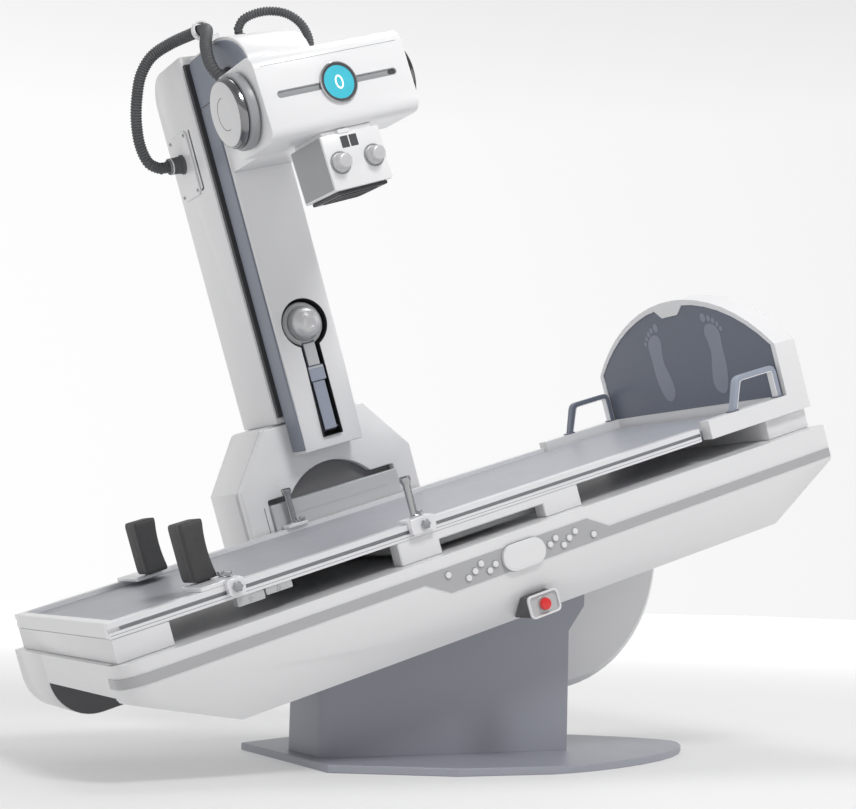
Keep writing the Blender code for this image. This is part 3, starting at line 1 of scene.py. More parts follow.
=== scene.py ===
# Looks for the radiography and fluoroscopy system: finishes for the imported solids, and the
# detailed pieces that they carry. Metres, +Z up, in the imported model's own frame.
# Pieces on the tilted table are made in table coordinates u (towards the foot end), v (away
# from the operator's side) and w (up from the table), as the solids are.

from math import atan2, ceil, cos, exp, pi, radians, sin

import bmesh
import bpy
from mathutils import Matrix, Vector


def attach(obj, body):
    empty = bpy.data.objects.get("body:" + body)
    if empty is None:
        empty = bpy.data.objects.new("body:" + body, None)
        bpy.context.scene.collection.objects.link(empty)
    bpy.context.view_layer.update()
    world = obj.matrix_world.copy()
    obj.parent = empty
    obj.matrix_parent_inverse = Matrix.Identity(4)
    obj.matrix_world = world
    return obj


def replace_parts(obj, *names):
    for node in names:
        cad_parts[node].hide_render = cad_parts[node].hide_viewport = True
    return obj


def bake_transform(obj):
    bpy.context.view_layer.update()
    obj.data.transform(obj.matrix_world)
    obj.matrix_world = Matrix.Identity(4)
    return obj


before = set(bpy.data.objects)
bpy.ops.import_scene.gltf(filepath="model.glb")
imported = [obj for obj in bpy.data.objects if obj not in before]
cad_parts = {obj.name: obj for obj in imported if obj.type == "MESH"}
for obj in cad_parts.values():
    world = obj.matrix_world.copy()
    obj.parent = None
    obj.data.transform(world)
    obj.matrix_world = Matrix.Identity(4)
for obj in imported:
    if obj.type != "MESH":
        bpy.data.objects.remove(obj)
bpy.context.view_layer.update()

# Where the table stands at rest
REST_TILT = radians(18.6)
PIVOT = (0.360, 0.0, 0.620)
PIVOT_IN_TABLE = (0.347, 0.0, -0.096)
TABLE = (Matrix.Translation(PIVOT) @ Matrix.Rotation(-REST_TILT, 4, "Y")
         @ Matrix.Translation([-c for c in PIVOT_IN_TABLE]))

# Camera, at the photograph's viewing angle
CAMERA_PLACE = (-2.2548, -3.9787, 0.4851)
CAMERA_HEADING = radians(29.205)
CAMERA_PITCH = radians(5.285)
CAMERA_ROLL = radians(1.481)
CAMERA_LENS = 63.60
CAMERA_SHIFT = 0.0558

# Room: where its wall is brightest, its light from the dark side to that one, the ceiling's share
# of it, and how far up a direction points where the ceiling begins and where it is full
BRIGHT_SIDE = (0.0, 1.0, 0.0)
WALL_LIGHT = (0.42, 1.00)
CEILING_LIGHT = 0.55
CEILING_RISE = (0.30, 0.65)

# Floor: its paint, and its glow from one distance off the machine to another
FLOOR_HALF_SIZE = 30.0
FLOOR_CENTRE = (0.0, 3.0, 0.0)
FLOOR_GREY = 0.60
FLOOR_ROUGHNESS = 0.7
FLOOR_REACH = (1.5, 9.0)
FLOOR_GLOW = (0.26, 0.74)

# Lamps: each one's name, place, aim, size and watts
LAMPS = (
    ("key", (-0.4, -3.6, 4.6), (0.0, 0.0, 0.9), 1.5, 122.0),
    ("fill", (3.4, -2.4, 3.0), (0.2, 0.0, 0.9), 2.0, 14.0),
    ("top", (0.3, 0.6, 4.6), (0.1, 0.0, 0.8), 2.0, 55.0),
)


# Camera, lamps, room and floor

def add_camera():
    camera = bpy.data.objects.new("camera", bpy.data.cameras.new("camera"))
    bpy.context.scene.collection.objects.link(camera)
    camera.data.sensor_width = 36.0
    camera.data.lens = CAMERA_LENS
    camera.data.shift_y = CAMERA_SHIFT
    camera.data.clip_end = 60.0
    turn = (Matrix.Rotation(-CAMERA_HEADING, 4, "Z") @ Matrix.Rotation(pi / 2 + CAMERA_PITCH, 4, "X")
            @ Matrix.Rotation(CAMERA_ROLL, 4, "Z"))
    camera.matrix_world = Matrix.Translation(CAMERA_PLACE) @ turn
    bpy.context.scene.camera = camera


def add_area_light(name, place, aim, size, watts):
    light = bpy.data.lights.new(name, "AREA")
    light.shape = "DISK"
    light.size = size
    light.energy = watts
    lamp = bpy.data.objects.new(name, light)
    lamp.location = place
    lamp.rotation_euler = (Vector(aim) - Vector(place)).to_track_quat("-Z", "Y").to_euler()
    bpy.context.scene.collection.objects.link(lamp)


def map_range(nodes, links, value, source, target):
    """A node that maps a value from the source range to the target range, and stays within it."""
    node = nodes.new("ShaderNodeMapRange")
    for socket, number in zip(("From Min", "From Max", "To Min", "To Max"), (*source, *target)):
        node.inputs[socket].default_value = number
    links.new(value, node.inputs["Value"])
    return node.outputs["Result"]


def add_world():
    """A pale room: its wall is brightest behind the table, and its ceiling is darker."""
    world = bpy.data.worlds.new("studio")
    world.use_nodes = True
    nodes = world.node_tree.nodes
    links = world.node_tree.links
    direction = nodes.new("ShaderNodeTexCoord").outputs["Generated"]
    bright_side = nodes.new("ShaderNodeVectorMath")
    bright_side.operation = "DOT_PRODUCT"
    bright_side.inputs[1].default_value = BRIGHT_SIDE
    links.new(direction, bright_side.inputs[0])
    wall = map_range(nodes, links, bright_side.outputs["Value"], (-1.0, 1.0), WALL_LIGHT)
    parts = nodes.new("ShaderNodeSeparateXYZ")
    links.new(direction, parts.inputs["Vector"])
    ceiling = map_range(nodes, links, parts.outputs["Z"], CEILING_RISE, (1.0, CEILING_LIGHT))
    strength = nodes.new("ShaderNodeMath")
    strength.operation = "MULTIPLY"
    links.new(wall, strength.inputs[0])
    links.new(ceiling, strength.inputs[1])
    background = nodes["Background"]
    background.inputs["Color"].default_value = (1.0, 1.0, 1.0, 1.0)
    links.new(strength.outputs["Value"], background.inputs["Strength"])
    bpy.context.scene.world = world
    bpy.context.scene.view_settings.view_transform = "Standard"


def add_floor():
    """A pale floor that brightens towards the horizon."""
    mesh = bpy.data.meshes.new("floor")
    builder = bmesh.new()
    bmesh.ops.create_grid(builder, x_segments=1, y_segments=1, size=FLOOR_HALF_SIZE)
    builder.to_mesh(mesh)
    builder.free()
    floor = bpy.data.objects.new("floor", mesh)
    bpy.context.scene.collection.objects.link(floor)
    floor.location = FLOOR_CENTRE
    finish = bpy.data.materials.new("floor_paint")
    finish.use_nodes = True
    shader = finish.node_tree.nodes["Principled BSDF"]
    shader.inputs["Base Color"].default_value = (FLOOR_GREY, FLOOR_GREY, FLOOR_GREY, 1.0)
    shader.inputs["Roughness"].default_value = FLOOR_ROUGHNESS
    shader.inputs["Emission Color"].default_value = (1.0, 1.0, 1.0, 1.0)
    nodes = finish.node_tree.nodes
    links = finish.node_tree.links
    reach = nodes.new("ShaderNodeVectorMath")
    reach.operation = "LENGTH"
    links.new(nodes.new("ShaderNodeNewGeometry").outputs["Position"], reach.inputs[0])
    glow = map_range(nodes, links, reach.outputs["Value"], FLOOR_REACH, FLOOR_GLOW)
    links.new(glow, shader.inputs["Emission Strength"])
    mesh.materials.append(finish)


# Materials

# The range that most of a noise texture's values keep to, and the places of a ramp's two colours
NOISE_MIDDLE = (0.15, 0.85)
RAMP_PLACES = (0.1, 0.9)


class Finish:
    """A procedural material under construction: a Principled shader with nodes in front of it."""

    def __init__(self, name, roughness=0.4, metallic=0.0, **sockets):
        self.material = bpy.data.materials.new(name)
        self.material.use_nodes = True
        self.nodes = self.material.node_tree.nodes
        self.links = self.material.node_tree.links
        self.shader = self.nodes["Principled BSDF"]
        self.shader.inputs["Roughness"].default_value = roughness
        self.shader.inputs["Metallic"].default_value = metallic
        for socket, value in sockets.items():
            self.shader.inputs[socket.replace("_", " ")].default_value = value
        self.coordinates = self.nodes.new("ShaderNodeTexCoord").outputs["Object"]

    def mapped(self, scale, turn=(0.0, 0.0, 0.0)):
        mapping = self.nodes.new("ShaderNodeMapping")
        mapping.inputs["Scale"].default_value = scale
        mapping.inputs["Rotation"].default_value = turn
        self.links.new(self.coordinates, mapping.inputs["Vector"])
        return mapping.outputs["Vector"]

    def noise(self, scale, detail=3.0, stretch=(1.0, 1.0, 1.0), turn=(0.0, 0.0, 0.0)):
        node = self.nodes.new("ShaderNodeTexNoise")
        node.inputs["Scale"].default_value = scale
        node.inputs["Detail"].default_value = detail
        self.links.new(self.mapped(stretch, turn), node.inputs["Vector"])
        return node.outputs["Fac"]

    def colour(self, value, dark, light):
        ramp = self.nodes.new("ShaderNodeValToRGB")
        for element, place, colour in zip(ramp.color_ramp.elements, RAMP_PLACES, (dark, light)):
            element.position = place
            element.color = (*colour, 1.0)
        self.links.new(value, ramp.inputs["Fac"])
        self.links.new(ramp.outputs["Color"], self.shader.inputs["Base Color"])

    def roughness(self, value, low, high):
        """Maps a noise value's middle range onto a roughness from low to high."""
        spread = map_range(self.nodes, self.links, value, NOISE_MIDDLE, (low, high))
        self.links.new(spread, self.shader.inputs["Roughness"])

    def bump(self, height, distance, strength=1.0):
        node = self.nodes.new("ShaderNodeBump")
        node.inputs["Strength"].default_value = strength
        node.inputs["Distance"].default_value = distance
        self.links.new(height, node.inputs["Height"])
        self.links.new(node.outputs["Normal"], self.shader.inputs["Normal"])


def shade(colour, factor):
    return tuple(min(1.0, c * factor) for c in colour)


def painted(name, colour, roughness=0.35, peel=0.00002, coat=0.0, drift=0.012):
    """Sprayed paint or moulded plastic: faint drift in tone, uneven gloss and a fine orange peel."""
    finish = Finish(name, roughness, Coat_Weight=coat, Coat_Roughness=0.15)
    cloud = finish.noise(2.5, 1.0)
    finish.colour(cloud, shade(colour, 1.0 - drift), shade(colour, 1.0 + drift))
    finish.roughness(finish.noise(9.0, 2.0), roughness - 0.03, roughness + 0.04)
    finish.bump(finish.noise(180.0, 1.0), peel)
    return finish.material


def brushed(name, colour, roughness=0.28, turn=(0.0, REST_TILT, 0.0), stretch=(3.0, 420.0, 420.0)):
    """Metal with fine lines along one direction."""
    finish = Finish(name, roughness, 1.0)
    lines = finish.noise(1.0, 3.0, stretch, turn)
    finish.colour(lines, shade(colour, 0.90), shade(colour, 1.06))
    finish.roughness(lines, roughness - 0.06, roughness + 0.10)
    finish.bump(lines, 0.00003, 0.6)
    return finish.material


def satin(name, colour, metallic=0.35, roughness=0.32):
    """Bead-blasted, clear-coated metal: nearly white, with a soft sheen and a very fine grain."""
    finish = Finish(name, roughness, metallic, Coat_Weight=0.2, Coat_Roughness=0.2)
    grain = finish.noise(700.0, 2.0)
    finish.colour(finish.noise(6.0, 4.0), shade(colour, 0.96), shade(colour, 1.03))
    finish.roughness(grain, roughness - 0.05, roughness + 0.07)
    finish.bump(grain, 0.00003)
    return finish.material


def laminate(name, colour):
    """A matt laminate with a faint speckle."""
    finish = Finish(name, 0.5)
    speckle = finish.noise(900.0, 2.0)
    finish.colour(speckle, shade(colour, 0.97), shade(colour, 1.03))
    finish.roughness(finish.noise(14.0, 2.0), 0.36, 0.43)
    finish.bump(speckle, 0.00001)
    return finish.material


def leather(name, colour):
    """Moulded soft-foam skin with a pebbled grain."""
    finish = Finish(name, 0.62)
    grain = finish.nodes.new("ShaderNodeTexVoronoi")
    grain.inputs["Scale"].default_value = 420.0
    finish.links.new(finish.mapped((1.0, 1.0, 1.0)), grain.inputs["Vector"])
    finish.colour(finish.noise(18.0, 4.0), shade(colour, 0.85), shade(colour, 1.18))
    finish.roughness(finish.noise(60.0, 3.0), 0.55, 0.70)
    finish.bump(grain.outputs["Distance"], 0.00035, 0.7)
    return finish.material


def lit_glass(name, colour, glow):
    """A glass lens with a lit print behind it."""
    finish = Finish(name, 0.12, Coat_Weight=1.0, Coat_Roughness=0.04)
    cloud = finish.noise(30.0, 2.0)
    finish.colour(cloud, shade(colour, 0.93), shade(colour, 1.05))
    finish.shader.inputs["Emission Color"].default_value = (*colour, 1.0)
    finish.shader.inputs["Emission Strength"].default_value = glow
    return finish.material


WHITE = painted("white_paint", (0.76, 0.76, 0.77), 0.30, coat=0.2)
LIGHT_GREY = painted("light_grey_plastic", (0.50, 0.51, 0.52), 0.38)
STRIPE_GREY = painted("stripe_grey_film", (0.42, 0.42, 0.43), 0.30, coat=0.3)
SLATE = painted("slate_plastic", (0.145, 0.162, 0.206), 0.38)
BAND_SLATE = painted("band_slate", (0.195, 0.215, 0.262), 0.38)
BASE_GREY = painted("base_grey_paint", (0.355, 0.365, 0.415), 0.42)
TABLETOP = laminate("tabletop_laminate", (0.36, 0.37, 0.41))
DARK = painted("dark_plastic", (0.045, 0.045, 0.050), 0.45)
ALUMINIUM = satin("anodised_aluminium", (0.82, 0.82, 0.84), 0.22)
CHROME = satin("chrome", (0.62, 0.62, 0.64), 1.0, 0.12)
DARK_CHROME = satin("dark_chrome", (0.26, 0.26, 0.27), 1.0, 0.16)
POST_CHROME = satin("post_chrome", (0.42, 0.42, 0.43), 1.0, 0.12)
STEEL = brushed("machined_steel", (0.42, 0.43, 0.45), 0.38)
RUBBER = leather("hose_rubber", (0.085, 0.087, 0.092))
PAD_SKIN = leather("pad_skin", (0.050, 0.050, 0.052))
RED = painted("red_plastic", (0.72, 0.020, 0.020), 0.28, coat=0.5)
TEAL = lit_glass("display_glass", (0.045, 0.46, 0.58), 0.14)
DARK_GREY = painted("dark_grey_paint", (0.105, 0.105, 0.110), 0.45)
MID_GREY = painted("mid_grey_plastic", (0.30, 0.31, 0.32), 0.36)
SLATE_LIGHT = painted("light_slate_plastic", (0.30, 0.33, 0.40), 0.38)
PRINT_GREY = painted("footprint_print", (0.25, 0.27, 0.33), 0.46)
SATIN = satin("satin_silver", (0.60, 0.60, 0.61))
RECESS_GREY = painted("recess_grey_paint", (0.150, 0.150, 0.155), 0.45)
MATT_BLACK = painted("matt_black", (0.012, 0.012, 0.013), 0.70)
GLOSS_BLACK = painted("gloss_black", (0.015, 0.015, 0.017), 0.12, coat=1.0)
SMOKED = painted("smoked_glass", (0.060, 0.062, 0.068), 0.15, coat=1.0)
SCREEN_WHITE = lit_glass("screen_white", (0.85, 0.92, 0.94), 0.5)

# The solids that aren't white, by their finish
NODE_FINISHES = (
    (BASE_GREY, ("base_plate", "pedestal")),
    (STEEL, ("tilt_shaft", "tilt_frame", "column_rail")),
    (STRIPE_GREY, ("control_band",)),
    (LIGHT_GREY, ("detector_arm", "detector_tray")),
    # The stop housing's dark grey is partly its own colour and partly painted shade of its shadowed left
    # side.
    (DARK_GREY, ("stop_housing",)),
    (RECESS_GREY, ("recess_panel",)),
    (ALUMINIUM, ("front_side_rail", "rear_side_rail", "shoulder_clamp_rear", "hand_grip_rear")),
    (TABLETOP, ("tabletop_panel",)),
    (SLATE_LIGHT, ("foot_grip_front",)),
    (SLATE, ("footboard_panel", "foot_grip_rear", "compression_arm")),
    (BAND_SLATE, ("beam_side_panel_lower", "beam_side_panel_upper")),
    (DARK, ("mast_guide", "top_hose_gland", "collimator_port")),
)

# Solids are shaded smooth across edges up to these angles. The swept fascia needs the larger one.
GENTLE_EDGE = radians(24)
FASCIA_EDGE = radians(42)
WELD_DISTANCE = 0.00002


def smoothing(limit):
    """A modifier's node tree that shades a solid smooth across its edges up to an angle."""
    tree = bpy.data.node_groups.new("smooth_gentle_edges", "GeometryNodeTree")
    for way in ("INPUT", "OUTPUT"):
        tree.interface.new_socket("Geometry", in_out=way, socket_type="NodeSocketGeometry")
    start = tree.nodes.new("NodeGroupInput")
    plain = tree.nodes.new("GeometryNodeRemoveAttribute")
    plain.inputs["Name"].default_value = "custom_normal"
    weld = tree.nodes.new("GeometryNodeMergeByDistance")
    weld.inputs["Distance"].default_value = WELD_DISTANCE
    faces = tree.nodes.new("GeometryNodeSetShadeSmooth")
    edges = tree.nodes.new("GeometryNodeSetShadeSmooth")
    edges.domain = "EDGE"
    edges.inputs["Shade Smooth"].default_value = False
    angle = tree.nodes.new("GeometryNodeInputMeshEdgeAngle")
    sharp = tree.nodes.new("FunctionNodeCompare")
    sharp.operation = "GREATER_THAN"
    sharp.inputs["B"].default_value = limit
    end = tree.nodes.new("NodeGroupOutput")
    chain = (start, plain, weld, faces, edges, end)
    for node, following in zip(chain, chain[1:]):
        tree.links.new(node.outputs["Geometry"], following.inputs["Geometry"])
    tree.links.new(angle.outputs["Unsigned Angle"], sharp.inputs["A"])
    tree.links.new(sharp.outputs["Result"], edges.inputs["Selection"])
    return tree


def dress_nodes():
    gentle = smoothing(GENTLE_EDGE)
    fascia = smoothing(FASCIA_EDGE)
    chosen = {name: finish for finish, names in NODE_FINISHES for name in names}
    for name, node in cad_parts.items():
        finish = chosen.get(name, WHITE)
        node.data.materials.clear()
        node.data.materials.append(finish)
        node.modifiers.new("gentle_edges", "NODES").node_group = fascia if name == "front_fascia" else gentle


# Shapes, made in table coordinates

PLANES = {"uv": (0, 1, 2), "uw": (0, 2, 1), "vw": (1, 2, 0)}
SIDES = (("front", -1), ("rear", 1))
# Each loop of a socket screw: its radius and height as shares, and whether it has six sides
SCREW_LOOPS = ((1.0, 0.0, False), (1.0, 0.75, False), (0.86, 1.0, False), (0.54, 1.0, True),
               (0.50, 0.25, True))
# Each loop of a star knob: its radius and height as shares, and how far its lobes stand out
STAR_LOOPS = ((0.45, 0.0, 0.0), (0.45, 0.25, 0.0), (0.90, 0.32, 0.10), (1.0, 0.45, 0.12),
              (1.0, 0.82, 0.12), (0.86, 1.0, 0.08), (0.40, 1.0, 0.0), (0.30, 0.93, 0.0))


def spot_at(plane, a, b, across):
    """A point from two coordinates in the named plane and one across it."""
    place = [0.0, 0.0, 0.0]
    for axis, value in zip(PLANES[plane], (a, b, across)):
        place[axis] = value
    return place


def full_turn(count):
    return [2 * pi * k / count for k in range(count)]


def arc(centre, radius, start, end, step=7.5):
    """Points on an arc, from start to end in degrees."""
    count = max(2, ceil(abs(end - start) / step))
    turns = [radians(start + (end - start) * k / count) for k in range(count + 1)]
    return [(centre[0] + radius * cos(turn), centre[1] + radius * sin(turn)) for turn in turns]


def rounded(low, high, radius, step=15.0):
    """A rectangle's outline with rounded corners."""
    corners = ((high[0] - radius, high[1] - radius, 0), (low[0] + radius, high[1] - radius, 90),
               (low[0] + radius, low[1] + radius, 180), (high[0] - radius, low[1] + radius, 270))
    return [spot for x, y, start in corners for spot in arc((x, y), radius, start, start + 90, step)]


def oval(centre, half_width, half_height, count=48):
    """An oval's outline."""
    return [(centre[0] + half_width * cos(turn), centre[1] + half_height * sin(turn))
            for turn in full_turn(count)]


def around(centre, half_width, half_height):
    """The low and the high corner of a rectangle around a centre."""
    return [(centre[0] + side * half_width, centre[1] + side * half_height) for side in (-1, 1)]


def grown(low, high, margin):
    """A rectangle's two corners, moved outwards by a margin, or inwards by a negative one."""
    return (low[0] - margin, low[1] - margin), (high[0] + margin, high[1] + margin)


def span(side, near, far):
    """Two places across the table on one side of its middle, in rising order."""
    return sorted((side * near, side * far))


def wrapped(loops, closed=False):
    """A skin over loops of points. A closed one joins the last loop to the first."""
    shape = bmesh.new()
    rings = [[shape.verts.new(spot) for spot in loop] for loop in loops]
    pairs = list(zip(rings, rings[1:]))
    if closed:
        pairs.append((rings[-1], rings[0]))
    for ring, following in pairs:
        for k in range(len(ring)):
            after = (k + 1) % len(ring)
            shape.faces.new((ring[k], ring[after], following[after], following[k]))
    if not closed:
        shape.faces.new(rings[0])
        shape.faces.new(rings[-1])
    return shape


def plate(plane, outline, low, high):
    """An outline in a plane, thickened across it."""
    return wrapped([[spot_at(plane, a, b, across) for a, b in outline] for across in (low, high)])


def framed(plane, outer, inner, low, high):
    """The band between two outlines that have as many points each, thickened across the plane."""
    sides = ((outer, low), (outer, high), (inner, high), (inner, low))
    return wrapped([[spot_at(plane, a, b, across) for a, b in line] for line, across in sides], True)


def spot_around(plane, centre, reach, turn, across):
    return spot_at(plane, centre[0] + reach * cos(turn), centre[1] + reach * sin(turn), across)


def turned(plane, centre, face, profile, way=-1, hollow=False, segments=44):
    """A turned shape on a face. The profile gives radii and heights, and way the direction off the face."""
    loops = [[spot_around(plane, centre, radius, turn, face + way * height) for turn in full_turn(segments)]
             for radius, height in profile]
    return wrapped(loops, hollow)


def socket_screw(plane, centre, face, height, radius):
    """A screw head with a hexagon socket. Height is signed, away from the face."""
    loops = []
    for share, along, sided in SCREW_LOOPS:
        loop = []
        for turn in full_turn(24):
            reach = share * radius
            if sided:
                reach *= cos(pi / 6) / cos(turn % (pi / 3) - pi / 6)
            loop.append(spot_around(plane, centre, reach, turn, face + along * height))
        loops.append(loop)
    return wrapped(loops)


def star_knob(plane, centre, face, height, radius, lobes=6):
    """A lobed hand knob on a short neck. Height is signed, away from the face."""
    loops = []
    for share, along, wave in STAR_LOOPS:
        loop = []
        for turn in full_turn(48):
            reach = radius * share * (1.0 + wave * cos(lobes * turn))
            loop.append(spot_around(plane, centre, reach, turn, face + along * height))
        loops.append(loop)
    return wrapped(loops)


def joined(*shapes):
    """One shape from several. The several are used up."""
    whole = bmesh.new()
    for shape in shapes:
        part = bpy.data.meshes.new("part")
        shape.to_mesh(part)
        shape.free()
        whole.from_mesh(part)
        bpy.data.meshes.remove(part)
    return whole


def add(name, shape, body, finish, place=TABLE, edge=0.0, smooth=32.0, steps=2):
    """Makes a piece from a shape in table coordinates, with its sharp edges rounded by edge."""
    mesh = bpy.data.meshes.new(name)
    bmesh.ops.recalc_face_normals(shape, faces=shape.faces)
    shape.transform(place)
    shape.to_mesh(mesh)
    shape.free()
    piece = bpy.data.objects.new(name, mesh)
    bpy.context.scene.collection.objects.link(piece)
    mesh.materials.append(finish)
    mesh.shade_smooth()
    mesh.set_sharp_from_angle(angle=radians(smooth))
    if edge:
        rounding = piece.modifiers.new("edges", "BEVEL")
        rounding.width = edge
        rounding.segments = steps
        rounding.limit_method = "ANGLE"
        rounding.angle_limit = radians(smooth)
        rounding.harden_normals = True
    if body:
        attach(piece, body)
    return piece


def turned_pieces(rows, plane, centre, face, way, body, place=TABLE, prefix=""):
    """Adds turned pieces that share their centre, from rows of name, whether hollow, finish, slot and
    profile. The first one is returned."""
    pieces = []
    for name, hollow, finish, slot, profile in rows:
        shape = turned(plane, centre, face, profile, way, hollow)
        pieces.append(add(prefix + name, shape, body, finish, place))
    return pieces[0]


def curve_spots(before, start, end, after, steps):
    """Points on a smooth curve from start up to end, led by the points before and after them."""
    spots = []
    for n in range(steps):
        t = n / steps
        spots.append(0.5 * (2 * start + (end - before) * t
                            + (2 * before - 5 * start + 4 * end - after) * t * t
                            + (3 * start - before - 3 * end + after) * t ** 3))
    return spots


def smooth_line(points, steps=12):
    """Points on a smooth curve through the given ones, as the solid's own route is smoothed."""
    line = [Vector(points[0])]
    for k in range(1, len(points) - 2):
        line += curve_spots(*(Vector(point) for point in points[k - 1:k + 3]), steps)
    return [*line, Vector(points[-2]), Vector(points[-1])]


def smooth_ring(points, steps=5):
    """Points on a smooth closed curve through the given ones."""
    count = len(points)
    line = []
    for k in range(count):
        line += curve_spots(*(Vector(points[(k + j) % count]) for j in (-1, 0, 1, 2)), steps)
    return [(spot.x, spot.y) for spot in line]


def even_line(line, spacing):
    """The same line with evenly spaced points."""
    lengths = [(b - a).length for a, b in zip(line, line[1:])]
    count = ceil(sum(lengths) / spacing)
    target = sum(lengths) / count
    spots = [line[0]]
    walked = 0.0
    for length, start, end in zip(lengths, line, line[1:]):
        while len(spots) < count and walked + length >= target * len(spots):
            spots.append(start.lerp(end, (target * len(spots) - walked) / length))
        walked += length
    return [*spots, line[-1]]


def corrugated(line, radius, pitch, depth, sides=20):
    """A ribbed hose along a line: a crest and a groove to every pitch."""
    spots = even_line(line, pitch / 4)
    loops = []
    side = None
    for k, spot in enumerate(spots):
        along = (spots[min(k + 1, len(spots) - 1)] - spots[max(k - 1, 0)]).normalized()
        if side is None:
            side = along.orthogonal()
        side = (side - along * side.dot(along)).normalized()
        other = along.cross(side)
        reach = radius - depth * (0.0, 0.35, 1.0, 0.35)[k % 4]
        loops.append([spot + (side * cos(turn) + other * sin(turn)) * reach for turn in full_turn(sides)])
    return wrapped(loops)


def soft_block(low, high, radius, cells=14):
    """A block with every edge rounded, as a grid of cells that can be shaped further."""
    shape = bmesh.new()
    bmesh.ops.create_cube(shape, size=2.0)
    bmesh.ops.subdivide_edges(shape, edges=shape.edges, cuts=cells - 1, use_grid_fill=True)
    middle = [(a + b) / 2 for a, b in zip(low, high)]
    half = [(b - a) / 2 for a, b in zip(low, high)]
    for vert in shape.verts:
        spot = [c * h for c, h in zip(vert.co, half)]
        core = Vector([max(-h + radius, min(h - radius, c)) for c, h in zip(spot, half)])
        away = Vector(spot) - core
        vert.co = core + away.normalized() * min(radius, away.length) if away.length else core
        vert.co += Vector(middle)
    return shape


# Tube head: the housing's trim, its caps, its display and the collimator

HEAD_U = -0.033
HEAD_V = -0.090
HEAD_W = 1.392
HEAD_TURN = radians(2.5)
HEAD = (TABLE @ Matrix.Translation((HEAD_U, HEAD_V, HEAD_W)) @ Matrix.Rotation(-HEAD_TURN, 4, "Y")
        @ Matrix.Translation((-HEAD_U, -HEAD_V, -HEAD_W)))
HEAD_FRONT = -0.220
HEAD_LEFT = -0.2773
HEAD_RIGHT = 0.2113


def head_piece(name, shape, finish, edge=0.0):
    return add(name, shape, "head", finish, HEAD, edge)


def head_slot():
    low, high = around((HEAD_U, HEAD_W), 0.1945, 0.0078)
    face = HEAD_FRONT
    opening = rounded(low, high, 0.0077)
    floor = plate("uw", opening, face + 0.0036, face + 0.0049)
    head_piece("head_slot_floor", floor, MID_GREY, 0.0006)
    outside = rounded(*grown(low, high, 0.0025), 0.0102)
    rim = framed("uw", outside, opening, face - 0.0005, face + 0.0002)
    head_piece("head_slot_rim", rim, MID_GREY, 0.0002)
    # A dark plate at the slot's right end: painted shadow inside the recess there.
    end = rounded((high[0] - 0.026, low[1] + 0.001), (high[0] - 0.001, high[1] - 0.001), 0.0066)
    head_piece("head_slot_end_shadow", plate("uw", end, face + 0.003, face + 0.0037), DARK, 0.0002)


def head_crease_shade():
    # A thin mid-grey line where the top rounding meets the front face: painted shade along that crease.
    seam = rounded(*around((HEAD_U, HEAD_W + 0.0851), 0.222, 0.0006), 0.0005, 45.0)
    seam = plate("uw", seam, HEAD_FRONT - 0.0002, HEAD_FRONT + 0.001)
    head_piece("head_crease_shade", seam, MID_GREY, 0.0001)


DISPLAY = (
    ("display_lens", False, TEAL, "teal",
     ((0.055, 0.0002), (0.055, 0.0068), (0.049, 0.0076), (0.047, 0.0068), (0.030, 0.0073), (0.001, 0.0075))),
    ("display_rim", True, CHROME, "aluminium",
     ((0.059, 0.0001), (0.0592, 0.007), (0.0575, 0.009), (0.0548, 0.009), (0.054, 0.007), (0.054, 0.0001))),
    ("display_bezel", True, DARK, "dark_grey",
     ((0.0542, 0.0005), (0.0542, 0.0084), (0.048, 0.0079), (0.0472, 0.0062), (0.0472, 0.0005))),
)
LEFT_CAP = (
    ("left_cap_ring", False, MID_GREY, "light_grey",
     ((0.090, 0.0), (0.090, 0.005), (0.1055, 0.006), (0.109, 0.0095), (0.109, 0.027), (0.105, 0.0335),
      (0.0985, 0.0345))),
    ("left_cap_groove", True, DARK, "dark_grey",
     ((0.0985, 0.0335), (0.0985, 0.0362), (0.090, 0.0362), (0.090, 0.0335))),
    ("left_cap_bevel", False, DARK_CHROME, "aluminium",
     ((0.0955, 0.035), (0.098, 0.0375), (0.0985, 0.048), (0.0925, 0.059), (0.091, 0.060), (0.090, 0.059))),
    ("left_cap_face", False, SATIN, "aluminium",
     ((0.0902, 0.0585), (0.0902, 0.0597), (0.089, 0.0601), (0.040, 0.0601), (0.001, 0.0601))),
)
RIGHT_CAP = (
    ("right_cap", False, GLOSS_BLACK, "dark_grey",
     ((0.106, 0.0), (0.109, 0.004), (0.109, 0.020), (0.105, 0.027), (0.090, 0.031), (0.050, 0.0336),
      (0.001, 0.034))),
    ("right_cap_trim", True, CHROME, "aluminium",
     ((0.1085, 0.001), (0.1106, 0.002), (0.1106, 0.006), (0.1085, 0.007))),
)


def display():
    centre = (HEAD_U, HEAD_W)
    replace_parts(turned_pieces(DISPLAY, "uw", centre, HEAD_FRONT, -1, "head", HEAD), "head_display")
    figure = framed("uw", oval(centre, 0.013, 0.020), oval(centre, 0.0082, 0.015), HEAD_FRONT - 0.0082,
                    HEAD_FRONT - 0.0073)
    head_piece("display_figure", figure, SCREEN_WHITE, 0.0002)


def head_caps():
    centre = (HEAD_V, HEAD_W)
    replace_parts(turned_pieces(LEFT_CAP, "vw", centre, HEAD_LEFT, -1, "head", HEAD), "head_left_cap")
    arcs = arc(centre, 0.0462, -100, 100) + arc(centre, 0.0442, 100, -100)
    engraving = plate("vw", arcs, HEAD_LEFT - 0.0604, HEAD_LEFT - 0.060)
    head_piece("left_cap_engraving", engraving, DARK_GREY)
    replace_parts(turned_pieces(RIGHT_CAP, "vw", centre, HEAD_RIGHT, 1, "head", HEAD), "head_right_cap")


